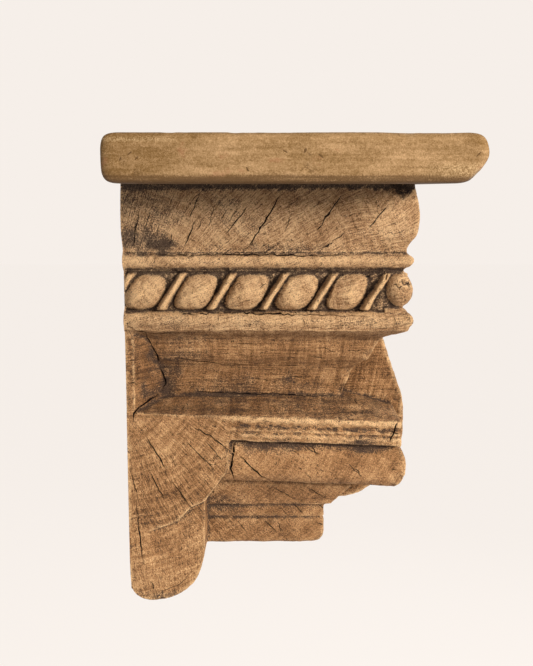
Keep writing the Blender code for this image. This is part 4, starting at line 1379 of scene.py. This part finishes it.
@dataclass
class Studio:
    """A plain pale room with soft light, and the camera of the photograph."""

    cream: Colour = (0.922, 0.863, 0.815)
    floor_drop: float = 1.1
    floor_half: float = 14.0
    image_height: float = 666.0
    focal_pixels: float = 950.0
    sensor: float = 36.0
    pitch_down: float = 8.68
    eye: tuple[float, float, float] = (0.1085, -0.827, 0.080)
    world_light: float = 0.38

    def build(self) -> None:
        """Make the floor, the world, the lights and the camera."""
        self.make_floor()
        self.make_world()
        self.make_light("key_light", (1.65, -1.65, 0.62), 0.6, 103.0, (1.0, 0.965, 0.92))
        self.make_light("top_light", (0.5, -0.6, 1.6), 1.0, 16.0, (1.0, 0.98, 0.95))
        self.make_light("fill_light", (-1.3, -1.4, 0.10), 1.3, 7.0, (0.97, 0.98, 1.0))
        self.make_light("far_light", (0.9, 1.7, 0.6), 1.0, 40.0, (1.0, 0.98, 0.95))
        self.make_camera()
        bpy.context.scene.view_settings.view_transform = "Standard"

    def make_floor(self) -> None:
        """Make the plain pale floor, well below the shelf."""
        deselect_all()
        bpy.ops.mesh.primitive_plane_add(size=2 * self.floor_half, location=(0.0, 0.0, -self.floor_drop))
        floor = bpy.context.object
        floor.name = "floor"
        canvas = NodeCanvas("pale_floor")
        canvas.shader.inputs["Base Color"].default_value = (0.05, 0.047, 0.044, 1.0)
        canvas.shader.inputs["Roughness"].default_value = 1.0
        canvas.shader.inputs["Specular IOR Level"].default_value = 0.0
        canvas.shader.inputs["Emission Color"].default_value = (*self.cream, 1.0)
        canvas.shader.inputs["Emission Strength"].default_value = 0.97
        floor.data.materials.append(canvas.material)

    def make_world(self) -> None:
        """Make a cream world that looks bright and lights softly."""
        world = bpy.data.worlds.new("pale_room")
        world.use_nodes = True
        bpy.context.scene.world = world
        tree = world.node_tree
        back = tree.nodes["Background"]
        back.inputs["Color"].default_value = (*self.cream, 1.0)
        sight = tree.nodes.new("ShaderNodeLightPath")
        level = tree.nodes.new("ShaderNodeMapRange")
        level.inputs["To Min"].default_value = self.world_light
        level.inputs["To Max"].default_value = 1.0
        tree.links.new(sight.outputs["Is Camera Ray"], level.inputs["Value"])
        tree.links.new(level.outputs["Result"], back.inputs["Strength"])

    def make_light(
        self, name: str, place: tuple[float, float, float], size: float, power: float, colour: Colour
    ) -> None:
        """Hang one soft square light, turned to the middle of the shelf."""
        data = bpy.data.lights.new(name, "AREA")
        data.size = size
        data.energy = power
        data.color = colour
        light = bpy.data.objects.new(name, data)
        light.location = place
        aim = Vector((0.11, 0.0, -0.06)) - Vector(place)
        light.rotation_euler = aim.to_track_quat("-Z", "Y").to_euler()
        light.visible_glossy = False
        bpy.context.scene.collection.objects.link(light)

    def make_camera(self) -> None:
        """Set the camera where the photograph was taken from."""
        data = bpy.data.cameras.new("camera")
        data.sensor_width = self.sensor
        data.lens = self.focal_pixels / self.image_height * self.sensor
        camera = bpy.data.objects.new("camera", data)
        camera.location = self.eye
        camera.rotation_euler = (math.radians(90.0 - self.pitch_down), 0.0, 0.0)
        bpy.context.scene.collection.objects.link(camera)
        bpy.context.scene.camera = camera


def main() -> None:
    """Build the corbel, the board and the studio."""
    for builder in (CarvedCorbel(), ShelfBoard()):
        piece = builder.build()
    Studio().build()
    bpy.context.view_layer.update()


if __name__ == "__main__":
    main()
